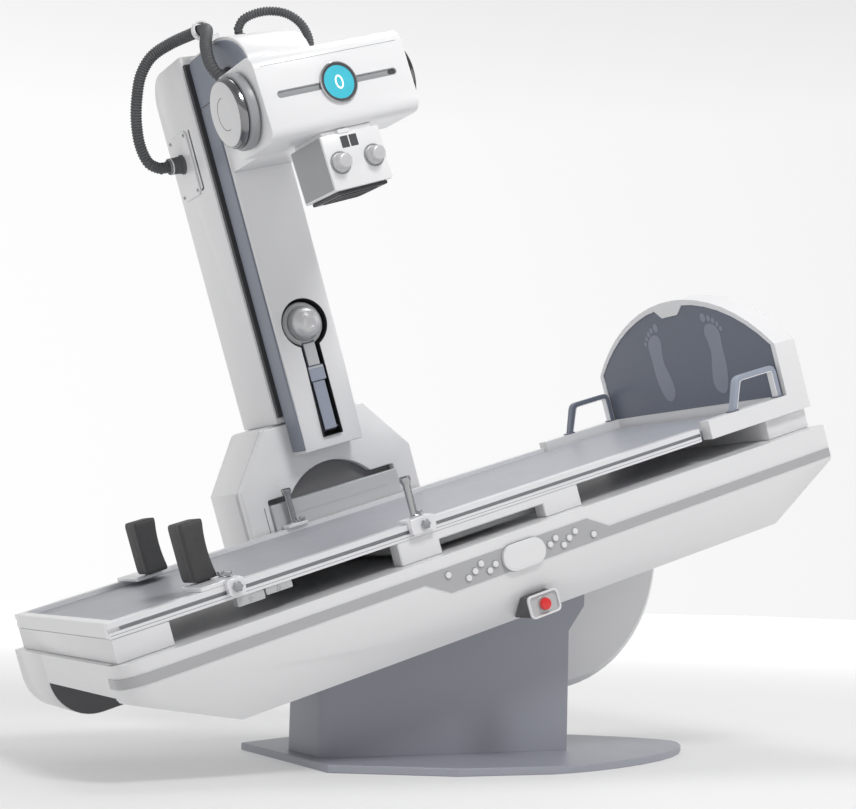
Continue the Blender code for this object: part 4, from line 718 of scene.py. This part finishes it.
COLLIMATOR_FRONT = -0.200
COLLIMATOR_LEFT = HEAD_U - 0.097
WINDOWS = (("window_left", (HEAD_U - 0.0235, 1.23005)), ("window_right", (HEAD_U + 0.0055, 1.23005)))
TAB_CORNERS = ((HEAD_U - 0.038, 1.2545), (HEAD_U - 0.001, 1.2665))
SIDE_SHADE_CORNERS = ((-0.192, 1.106), (-0.003, 1.256))
KNOB_W = 1.175
KNOB_SPACING = 0.112
KNOB_RING = ((0.033, 0.0001), (0.033, 0.0018), (0.032, 0.0028), (0.030, 0.0028), (0.029, 0.0018),
             (0.029, 0.0001))
KNOB_SKIRT = ((0.027, 0.0005), (0.0278, 0.003), (0.0278, 0.006), (0.025, 0.0075), (0.023, 0.008))
KNOB_BODY = ((0.0245, 0.007), (0.0262, 0.0086), (0.0262, 0.011), (0.0228, 0.0145), (0.0222, 0.029),
             *arc((0.0152, 0.029), 0.007, 15, 90, 15.0), (0.001, 0.0363))
PORT_CORNERS = ((HEAD_U - 0.061, -0.164), (HEAD_U + 0.061, -0.031))
PORT_TOP = 1.090


def collimator_knob(name, side):
    centre = (HEAD_U + side * KNOB_SPACING / 2, KNOB_W)
    ring = turned("uw", centre, COLLIMATOR_FRONT, KNOB_RING, hollow=True)
    head_piece("knob_ring_" + name, ring, MID_GREY)
    shapes = [turned("uw", centre, COLLIMATOR_FRONT, profile) for profile in (KNOB_SKIRT, KNOB_BODY)]
    knob = add("knob_dome_" + name, joined(*shapes), "knob_" + name, SATIN, HEAD)
    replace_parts(knob, "collimator_knob_" + name)


def collimator():
    face = COLLIMATOR_FRONT
    for name, centre in WINDOWS:
        pane = rounded(*around(centre, 0.0124, 0.01675), 0.0012, 30.0)
        head_piece(name, plate("uw", pane, face - 0.001, face + 0.0005), SMOKED, 0.0004)
    tab = plate("uw", rounded(*TAB_CORNERS, 0.002, 30.0), face - 0.003, face + 0.015)
    head_piece("collimator_tab", tab, WHITE, 0.0012)
    collimator_knob("left", -1)
    collimator_knob("right", 1)
    left = COLLIMATOR_LEFT
    # A mid-grey sheet over the collimator's whole left face: painted shade from the head above it.
    side_shade_plate = plate("vw", rounded(*SIDE_SHADE_CORNERS, 0.004, 30.0), left - 0.0008, left + 0.0006)
    head_piece("collimator_side_shade", side_shade_plate, MID_GREY, 0.0004)
    rim = framed("uv", rounded(*PORT_CORNERS, 0.008), rounded(*grown(*PORT_CORNERS, -0.006), 0.004),
                 PORT_TOP - 0.003, PORT_TOP)
    head_piece("port_rim", rim, DARK, 0.0008)
    pane = plate("uv", rounded(*grown(*PORT_CORNERS, -0.005), 0.004), PORT_TOP - 0.0018, PORT_TOP - 0.0001)
    head_piece("port_window", pane, MATT_BLACK, 0.0004)


# Beam: the keyhole with the folded compression arm

COLUMN_U = -0.050
KEYHOLE_W = 0.780
KEYHOLE_BOTTOM = 0.415
KEYHOLE_BACK = 0.3948


def keyhole(inset):
    """The opening's outline: a round hole over a slot."""
    slot = 0.034 - inset
    outline = arc((COLUMN_U, KEYHOLE_W), 0.080 - inset, -65, 245, 6.0)
    return outline + [(COLUMN_U - slot, KEYHOLE_BOTTOM + inset), (COLUMN_U + slot, KEYHOLE_BOTTOM + inset)]


def keyhole_shade_lining():
    # The opening's wall and floor are matt black: painted shade deep inside the recess.
    wall = framed("uw", keyhole(0.0003), keyhole(0.0024), 0.3496, KEYHOLE_BACK)
    add("keyhole_wall", wall, "beam", MATT_BLACK, edge=0.0006)
    floor = plate("uw", keyhole(0.0022), KEYHOLE_BACK - 0.0012, KEYHOLE_BACK)
    add("keyhole_floor", floor, "beam", MATT_BLACK, edge=0.0002)


DOME_RING_BACK = 0.3617
DOME_RING = ((0.050, 0.0), (0.0556, 0.0005), (0.056, 0.0057), (0.0545, 0.0097), (0.050, 0.0112))
FLANGE_BACK = 0.3926
FLANGE = ((0.056, 0.0), (0.070, 0.001), (0.0712, 0.0046), (0.0712, 0.0206), (0.069, 0.0266),
          (0.062, 0.0304), (0.054, 0.0312))
DOME_BACK = 0.3515
# A foot, a quarter of an oval and a tip
DOME = ((0.044, 0.0), (0.0515, 0.0015), *oval((0.0215, 0.002), 0.030, 0.0385, 32)[:9], (0.020, 0.0415),
        (0.019, 0.0411), (0.001, 0.0407))


def compression_dome():
    centre = (COLUMN_U, KEYHOLE_W)
    add("dome_ring", turned("uw", centre, DOME_RING_BACK, DOME_RING), "compression", MID_GREY)
    add("dome_flange", turned("uw", centre, FLANGE_BACK, FLANGE), "compression", LIGHT_GREY)
    dome = add("dome", turned("uw", centre, DOME_BACK, DOME), "compression", SATIN)
    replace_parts(dome, "compression_cone")


# Each bar's low and high end along the arm, its half width, its front and back, its corners' radius,
# its finish and slot, and its edges' rounding
ARM_BARS = (
    ("arm_upper_bar", 0.644, 0.716, 0.0205, 0.356, 0.3618, 0.002, LIGHT_GREY, "light_grey", 0.0015),
    ("arm_clip", 0.594, 0.642, 0.0275, 0.352, 0.3618, 0.003, SLATE_LIGHT, "slate", 0.002),
    ("arm_clip_lip", 0.634, 0.639, 0.025, 0.3508, 0.3522, 0.001, LIGHT_GREY, "light_grey", 0.0004),
    ("arm_lower_bar", 0.436, 0.592, 0.0215, 0.3575, 0.3618, 0.002, SLATE_LIGHT, "slate", 0.0012),
)


def compression_bars():
    for name, low, high, half, front, back, corner, finish, slot, edge in ARM_BARS:
        outline = rounded((COLUMN_U - half, low), (COLUMN_U + half, high), corner, 30.0)
        add(name, plate("uw", outline, front, back), "compression", finish, edge=edge)


# Column: the side cover's gland, the cable slot and the carriage's trim

BOOT_CENTRE = (0.640, 1.385)
BOOT_FACE = -0.1862
BOOT_FOOT = ((0.032, 0.0), (0.032, 0.0038), (0.029, 0.0063))
BOOT_END = ((0.0265, 0.0488), (0.024, 0.051), (0.0195, 0.051))
MAST_LEFT = COLUMN_U - 0.130
SCREW_SPOTS = ((0.575, 1.285), (0.695, 1.285), (0.575, 1.465), (0.695, 1.465))
GLAND_TOP = 1.6714
GLAND_COLLAR = ((0.0232, 0.0), (0.0232, 0.0046), (0.0216, 0.0058), (0.0216, 0.0126), (0.0205, 0.0156),
                (0.018, 0.0176), (0.0146, 0.0176), (0.0146, 0.0))


def hose_boot():
    profile = list(BOOT_FOOT)
    for k in range(5):
        start = 0.0078 + 0.008 * k
        radius = 0.0285 - 0.0008 * k
        profile += [(radius, start), (radius, start + 0.0045)]
        profile += [(0.0268, start + 0.0055), (0.0268, start + 0.0075)]
    profile += BOOT_END
    add("left_hose_boot", turned("vw", BOOT_CENTRE, BOOT_FACE, profile), "column", RUBBER)


def mast_slot():
    """A narrow slot with a hooked lower end, and the side cover's screws."""
    line = arc((0.5385, 1.470), 0.0045, 0, 180, 30.0) + [(0.534, 1.295)]
    line += arc((0.544, 1.288), 0.010, 180, 270, 30.0) + [(0.556, 1.278), (0.556, 1.283)]
    line += arc((0.548, 1.290), 0.005, 270, 180, 30.0)
    add("mast_slot", plate("vw", line, MAST_LEFT - 0.0008, MAST_LEFT + 0.0004), "column", DARK,
        edge=0.0002)
    screws = [socket_screw("vw", spot, MAST_LEFT - 0.0062, -0.0028, 0.0055) for spot in SCREW_SPOTS]
    add("side_cover_screws", joined(*screws), "column", STEEL)


def top_gland_collar():
    collar = turned("uv", TOP_HOSE[0][:2], GLAND_TOP, GLAND_COLLAR, 1, True)
    add("top_gland_collar", collar, "beam", RUBBER)


def carriage_trim():
    seam = rounded((-0.3046, 0.090), (-0.3028, 0.246), 0.0008, 45.0)
    add("carriage_seam", plate("uw", seam, 0.4553, 0.4566), "column", DARK)
    ridge = rounded((-0.236, 0.203), (0.136, 0.2065), 0.0016, 45.0)
    ridge = plate("uw", ridge, 0.4404, 0.4418)
    add("arm_plate_ridge", ridge, "column", LIGHT_GREY, edge=0.0004)


# Table: rails, clamps, pads and grips

PLATE_TOP = 0.1763
RAIL_GROOVE = ((-1.120, 0.1402), (0.742, 0.1498))
RAIL_SEAM = ((-1.148, 0.1318), (0.743, 0.1332))
BLOCK_TOP = 0.1248
BLOCKS = ((-0.815, -0.738, 0.100), (-0.733, -0.658, 0.106))


def rail_trim():
    for name, side in SIDES:
        # A mid-grey strip down in each rail's groove: painted shade of the groove.
        groove = plate("uw", rounded(*RAIL_GROOVE, 0.0008, 45.0), *span(side, 0.4283, 0.4292))
        add(name + "_rail_groove_shade", groove, "table", MID_GREY)
        low, high = span(side, 0.401, 0.436)
        cap = plate("vw", rounded((low, 0.1262), (high, 0.1638), 0.003, 30.0), 0.7448, 0.7478)
        add(name + "_rail_cap", cap, "table", MID_GREY, edge=0.001)
        seam = plate("uw", rounded(*RAIL_SEAM, 0.0005, 45.0), *span(side, 0.436, 0.4373))
        add(name + "_rail_seam", seam, "table", MID_GREY)
        low, high = span(side, 0.4135, 0.4165)
        outline = rounded((-1.118, low), (0.740, high), 0.0012, 45.0)
        add(name + "_rail_line", plate("uv", outline, 0.1646, 0.1651), "table", MID_GREY)


def rear_beam_painted_shade():
    """A dark grey sheet on the rear beam's inner side, seen below the head end: painted shade of the hollow
    under the table's head end.
    """
    outline = arc((-1.040, -0.023), 0.1235, 180, 270)
    outline += [(-0.300, -0.1465), (-0.300, -0.0215), (-1.1635, -0.0215)]
    shade_sheet = plate("uw", outline, 0.1985, 0.2001)
    add("rear_beam_painted_shade", shade_sheet, "table", DARK_GREY, edge=0.0004)


def rail_blocks():
    shapes = []
    for low_u, high_u, low_w in BLOCKS:
        outline = rounded((low_u, low_w), (high_u, BLOCK_TOP), 0.004, 30.0)
        shapes.append(plate("uw", outline, -0.434, -0.406))
        middle = ((low_u + high_u) / 2, (low_w + BLOCK_TOP) / 2)
        shapes.append(socket_screw("uw", middle, -0.4339, -0.0028, 0.006))
    add("rail_blocks", joined(*shapes), "table", LIGHT_GREY, edge=0.0015)


JAW_FACE = -0.457
WASHER = ((0.0125, -0.0003), (0.0125, 0.001), (0.011, 0.0016), (0.004, 0.0016))
# Each clamp: its side, its place along the rail, the places of its star knobs from there and across,
# and the places of the star knobs on its jaw
CLAMPS = (
    ("shoulder_front", -1, -0.845, ((0.040, 0.345), (0.040, 0.395)), ((0.0315, 0.1535),)),
    ("shoulder_rear", 1, -0.775, ((0.038, 0.300), (0.038, 0.350)), ()),
    ("grip_front", -1, -0.258, ((0.024, 0.403),), ((0.004, 0.1545),)),
    ("grip_rear", 1, -0.232, ((0.022, 0.403),), ()),
)


def clamp_fittings():
    for name, side, u, knobs, jaw_knobs in CLAMPS:
        centres = [(u + along, side * v) for along, v in knobs]
        stars = [star_knob("uv", centre, PLATE_TOP - 0.0003, 0.015, 0.0105) for centre in centres]
        add(name + "_star_knobs", joined(*stars), name, STEEL)
        if jaw_knobs:
            stars = [star_knob("uw", (u + along, w), JAW_FACE, -0.011, 0.0125) for along, w in jaw_knobs]
            add(name + "_jaw_knobs", joined(*stars), name, STEEL)
        for letter, centre in zip("ab", centres):
            add(name + "_washer_" + letter, turned("uv", centre, PLATE_TOP, WASHER, 1), name, CHROME)


PLATE_UNDERSIDE = 0.1653
RAIL_SIDE = -0.4373
STEM = ((0.012, -0.0008), (0.012, 0.0194))


def front_clamp(name, node, body, plate_u, jaw_u, inner_v, stem):
    """A plate across the front rail, with a short jaw over the rail's side."""
    jaw = rounded((jaw_u[0], 0.134), (jaw_u[1], PLATE_TOP), 0.007, 30.0)
    corner = rounded((jaw_u[0], 0.166), (jaw_u[1], PLATE_TOP), 0.003, 30.0)
    shapes = [plate("uv", rounded((plate_u[0], -0.4372), (plate_u[1], inner_v), 0.006, 30.0),
                    PLATE_UNDERSIDE, PLATE_TOP),
              plate("uw", jaw, JAW_FACE - 0.0003, RAIL_SIDE),
              plate("uw", corner, -0.440, -0.430)]
    if stem:
        shapes.append(turned("uv", stem, PLATE_TOP, STEM, 1, segments=28))
    clamp = add(name, joined(*shapes), body, ALUMINIUM, edge=0.0015)
    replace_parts(clamp, node)


PAD_HALF_LENGTH = 0.034
PAD_HALF_WIDTH = 0.047
PAD_LOW = 0.180
PAD_HIGH = 0.3355
PAD_MIDDLE = 0.258
PAD_HALF_HEIGHT = 0.0775
PAD_HOLLOW = 0.0085
PAD_CROWN = 0.0015
PAD_CREASE = 0.0012
PAD_SOCKET = ((0.0185, -0.0003), (0.0185, 0.004), (0.015, 0.007), (0.0128, 0.015), (0.0128, 0.0182),
              (0.020, 0.0192), (0.020, 0.0212))


def shoulder_pad(name, node, body, u, v):
    """A moulded pad: rounded all over, hollow on its foot side, with a sewn crease down its front."""
    low = (u - PAD_HALF_LENGTH, v - PAD_HALF_WIDTH, PAD_LOW)
    high = (u + PAD_HALF_LENGTH, v + PAD_HALF_WIDTH, PAD_HIGH)
    shape = soft_block(low, high, 0.008)
    for vert in shape.verts:
        across = (vert.co.y - v) / PAD_HALF_WIDTH
        up = (vert.co.z - PAD_MIDDLE) / PAD_HALF_HEIGHT
        if vert.co.x > u:
            vert.co.x -= PAD_HOLLOW * max(0.0, 1.0 - up ** 2)
        else:
            vert.co.x -= PAD_CROWN * max(0.0, 1.0 - across ** 2) * max(0.0, 1.0 - up ** 4)
            vert.co.x += PAD_CREASE * exp(-((across + 0.45) / 0.05) ** 2)
    pad = add(name, shape, body, PAD_SKIN, smooth=80.0)
    refine = pad.modifiers.new("refine", "SUBSURF")
    refine.levels = 1
    refine.render_levels = 2
    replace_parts(pad, node)
    out = 0.020 if v > 0 else -0.020
    add(name + "_socket", turned("uv", (u, v + out), PLATE_TOP, PAD_SOCKET, 1), body, DARK)


POST_OUT = 0.4185
GRIP_POST = (
    ("_post", False, POST_CHROME, "aluminium",
     ((0.0106, 0.002), (0.0106, 0.0877), (0.012, 0.0927), (0.015, 0.0997), (0.016, 0.1027), (0.016, 0.1097),
      (0.0145, 0.1111))),
    ("_cap", False, DARK, "dark_grey",
     ((0.0148, 0.1103), (0.0142, 0.1121), (0.013, 0.1129), (0.010, 0.1127), (0.001, 0.1127))),
    ("_collar", True, CHROME, "aluminium",
     ((0.016, -0.0003), (0.016, 0.0035), (0.0135, 0.006), (0.0106, 0.0075), (0.010, 0.0075),
      (0.010, -0.0003))),
)


def hand_grip_post(name, side, u):
    turned_pieces(GRIP_POST, "uv", (u, side * POST_OUT), PLATE_TOP, 1, name, prefix=name)


# Table body: the stripe's wrapped end, the keys, the oval cover and the emergency stop

BAND_FACE = -0.4881
BAND_W = -0.005
STRIPE_CORNER = (-1.100, -0.420)
STRIPE_ENDS = (-1.0852, -0.380)
KEYS = ((0.243, -0.014), (0.184, 0.012), (0.160, 0.0), (0.137, -0.014), (0.115, 0.012), (0.093, 0.0))
KEY_CAP = ((0.0088, -0.0004), (0.0088, 0.0037), (0.008, 0.0048), (0.006, 0.0055), (0.003, 0.0058),
           (0.0006, 0.0059))
KEY_RING = ((0.0108, -0.0004), (0.0108, 0.0008), (0.009, 0.0008), (0.009, -0.0004))
OVAL_FACE = -0.5008


def stripe_line(radius):
    """The stripe's way round the head end's front corner."""
    return [(STRIPE_ENDS[0], STRIPE_CORNER[1] - radius), *arc(STRIPE_CORNER, radius, 270, 180, 6.0),
            (STRIPE_CORNER[0] - radius, STRIPE_ENDS[1])]


def wrapped_stripe():
    outline = stripe_line(0.0673) + stripe_line(0.0651)[::-1]
    add("stripe_end", plate("uv", outline, 0.0032, 0.0288), "table", STRIPE_GREY,
        edge=0.0004)


def control_keys():
    """Six keys on each side of the oval cover. The two groups are a half turn of each other."""
    for name, side in (("left", -1), ("right", 1)):
        centres = [(side * u, BAND_W + side * w) for u, w in KEYS]
        caps = [turned("uw", centre, BAND_FACE, KEY_CAP, segments=28) for centre in centres]
        rings = [turned("uw", centre, BAND_FACE, KEY_RING, hollow=True, segments=28) for centre in centres]
        keys = add("key_caps_" + name, joined(*caps), "table", WHITE)
        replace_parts(keys, "keypad_" + name)
        add("key_rings_" + name, joined(*rings), "table", MID_GREY)


def oval_outline(inset):
    half = 0.037 - inset
    return arc((0.033, BAND_W), half, -90, 90, 6.0) + arc((-0.033, BAND_W), half, 90, 270, 6.0)


def oval_rim():
    seam = framed("uw", oval_outline(-0.0016), oval_outline(0.0004), BAND_FACE - 0.0009, BAND_FACE + 0.0004)
    add("oval_seam", seam, "table", MID_GREY)
    add("oval_dome", plate("uw", oval_outline(0.006), OVAL_FACE, OVAL_FACE + 0.0013), "table", WHITE,
        edge=0.0012, steps=3)


STOP_CENTRE = (0.016, -0.151)
STOP_FACE = -0.502
STOP_HOLE_RADIUS = 0.012
STOP_RING = ((0.0215, 0.0009), (0.0215, 0.0018), (0.0207, 0.0023), (0.019, 0.0023), (0.0184, 0.0018),
             (0.0184, 0.0009))
STOP_CAP = ((0.0108, -0.006), (0.0108, 0.0053), (0.0155, 0.0057), (0.0168, 0.0072), (0.017, 0.0125),
            (0.0158, 0.0155), (0.0128, 0.0168), (0.007, 0.0174), (0.001, 0.0175))


def emergency_stop():
    outer = rounded(*around(STOP_CENTRE, 0.051, 0.0325), 0.014)
    inner = rounded(*around(STOP_CENTRE, 0.0455, 0.027), 0.010)
    frame_ring = framed("uw", outer, inner, STOP_FACE - 0.0075, STOP_FACE + 0.0012)
    add("stop_frame", frame_ring, "table", WHITE, edge=0.0014)
    hole = oval(STOP_CENTRE, STOP_HOLE_RADIUS, STOP_HOLE_RADIUS, len(inner))
    add("stop_inset", framed("uw", inner, hole, STOP_FACE - 0.001, STOP_FACE - 0.0001), "table", LIGHT_GREY)
    ring = turned("uw", STOP_CENTRE, STOP_FACE, STOP_RING, hollow=True)
    add("stop_ring", ring, "table", SATIN)
    button = add("stop_cap", turned("uw", STOP_CENTRE, STOP_FACE, STOP_CAP), "stop", RED)
    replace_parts(button, "stop_button")


# Footboard

LEFT_FOOT = ((0.140, 0.436), (0.151, 0.411), (0.149, 0.368), (0.148, 0.309), (0.138, 0.260), (0.122, 0.226),
             (0.098, 0.217), (0.074, 0.232), (0.066, 0.260), (0.074, 0.302), (0.088, 0.350), (0.086, 0.388),
             (0.079, 0.420), (0.090, 0.445), (0.116, 0.449))
TOES = ((0.089, 0.473, 0.0125), (0.115, 0.467, 0.0085), (0.133, 0.457, 0.008), (0.149, 0.443, 0.0072),
        (0.161, 0.426, 0.0065))
TOE_STRETCH = 1.2
RIGHT_FOOT_SHIFT = -0.070
PRINT_BACK = 1.102
PRINT_FRONT = 1.1008


def footprints():
    for name, side, shift in (("left", 1, 0.0), ("right", -1, RIGHT_FOOT_SHIFT)):
        outlines = [smooth_ring([(side * v + shift, w) for v, w in LEFT_FOOT])]
        outlines += [oval((side * v + shift, w), radius, TOE_STRETCH * radius) for v, w, radius in TOES]
        shapes = [plate("vw", outline, PRINT_FRONT, PRINT_BACK) for outline in outlines]
        add("footprint_" + name, joined(*shapes), "table", PRINT_GREY, edge=0.0003)


GRIP_V = 0.435
GRIP_HEAD = 0.882
GRIP_FOOT = 1.088
GRIP_BASE = 0.1823
GRIP_TOP = 0.284
GRIP_LEAN = 0.038


def grip_line(inset):
    """One side of the foot grip's bent bar, as the solid has it."""
    top = GRIP_TOP - inset
    corner = 0.030 - inset
    small = corner * 0.6
    lean = atan2(GRIP_LEAN, GRIP_TOP - GRIP_BASE) * 180 / pi
    line = [(GRIP_HEAD + inset, GRIP_BASE)]
    line += arc((GRIP_HEAD + inset + GRIP_LEAN + corner * 0.85, top - corner), corner, 180 - lean, 90, 12.0)
    line += arc((GRIP_FOOT - inset - small, top - small), small, 90, 0, 20.0)
    return line + [(GRIP_FOOT - inset, GRIP_BASE)]


def foot_grip_faces():
    for name, side in SIDES:
        v = side * GRIP_V
        outline = grip_line(0.0154) + grip_line(0.018)[::-1]
        face = plate("uw", outline, v - 0.0112, v + 0.0112)
        add("foot_grip_face_" + name, face, "table", WHITE, edge=0.0006)
        feet = [plate("uv", rounded(*around((u, v), 0.015, 0.0175), 0.004, 30.0), GRIP_BASE - 0.0001,
                      GRIP_BASE + 0.0039) for u in (0.890, 1.080)]
        add("foot_grip_feet_" + name, joined(*feet), "table", SLATE, edge=0.001)


# Hoses

LEFT_HOSE = (
    (-0.2365, 0.640, 1.385), (-0.252, 0.640, 1.385), (-0.268, 0.640, 1.386), (-0.302, 0.636, 1.410),
    (-0.317, 0.628, 1.470), (-0.311, 0.618, 1.545), (-0.293, 0.605, 1.615), (-0.268, 0.585, 1.678),
    (-0.228, 0.555, 1.724), (-0.180, 0.500, 1.742), (-0.138, 0.430, 1.744), (-0.122, 0.375, 1.739),
    (-0.132, 0.315, 1.724), (-0.162, 0.262, 1.694), (-0.192, 0.222, 1.655), (-0.208, 0.196, 1.612),
    (-0.210, 0.182, 1.578), (-0.197, 0.180, 1.552), (-0.180, 0.180, 1.547), (-0.1616, 0.180, 1.547))
TOP_HOSE = (
    (-0.040, 0.290, 1.6893), (-0.040, 0.290, 1.698), (-0.038, 0.289, 1.708), (-0.018, 0.280, 1.731),
    (0.018, 0.262, 1.740), (0.058, 0.240, 1.736), (0.098, 0.218, 1.717), (0.126, 0.200, 1.682),
    (0.136, 0.188, 1.640), (0.130, 0.180, 1.598), (0.108, 0.176, 1.564), (0.088, 0.175, 1.553),
    (0.072, 0.175, 1.551), (0.0553, 0.175, 1.551))
LEFT_HOSE_RADIUS = 0.019
TOP_HOSE_RADIUS = 0.0145
RIB_PITCH = 0.0088
RIB_DEPTH = 0.0034
LEFT_COLLAR = ((0.0225, 0.0), (0.0238, 0.0026), (0.0238, 0.0086), (0.0218, 0.0116), (0.019, 0.0121),
               (0.019, 0.0))
TOP_COLLAR = ((0.018, 0.0), (0.0195, 0.0029), (0.0195, 0.0089), (0.0175, 0.0119), (0.0146, 0.0124),
              (0.0146, 0.0))


def hoses():
    for name, route, radius in (("left_hose", LEFT_HOSE, LEFT_HOSE_RADIUS),
                                ("top_hose", TOP_HOSE, TOP_HOSE_RADIUS)):
        line = smooth_line(route)
        shape = corrugated(line, radius, RIB_PITCH, RIB_DEPTH)
        hose = add("corrugated_" + name, shape, None, RUBBER, smooth=80.0)
        if name == "left_hose":
            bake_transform(hose)
        else:
            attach(hose, "beam")
        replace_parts(hose, name)
    collar = turned("vw", LEFT_HOSE[-1][1:], -0.1614, LEFT_COLLAR, hollow=True)
    add("left_hose_collar", collar, "beam", DARK)
    collar = turned("vw", TOP_HOSE[-1][1:], 0.0551, TOP_COLLAR, 1, True)
    add("top_hose_collar", collar, "beam", DARK)


add_camera()
add_world()
add_floor()
for lamp in LAMPS:
    add_area_light(*lamp)
dress_nodes()
hoses()
head_slot()
head_crease_shade()
display()
head_caps()
collimator()
keyhole_shade_lining()
compression_dome()
compression_bars()
hose_boot()
mast_slot()
top_gland_collar()
carriage_trim()
rail_trim()
rail_blocks()
rear_beam_painted_shade()
clamp_fittings()
front_clamp("shoulder_front_clamp", "shoulder_clamp_front", "shoulder_front", (-0.900, -0.790),
            (-0.837, -0.790), -0.300, (-0.845, -0.320))
front_clamp("grip_front_clamp", "hand_grip_front", "grip_front", (-0.296, -0.220), (-0.296, -0.220),
            -0.388, None)
shoulder_pad("pad_front", "shoulder_pad_front", "shoulder_front", -0.845, -0.300)
shoulder_pad("pad_rear", "shoulder_pad_rear", "shoulder_rear", -0.775, 0.255)
hand_grip_post("grip_front", -1, -0.258)
hand_grip_post("grip_rear", 1, -0.232)
wrapped_stripe()
control_keys()
oval_rim()
emergency_stop()
footprints()
foot_grip_faces()
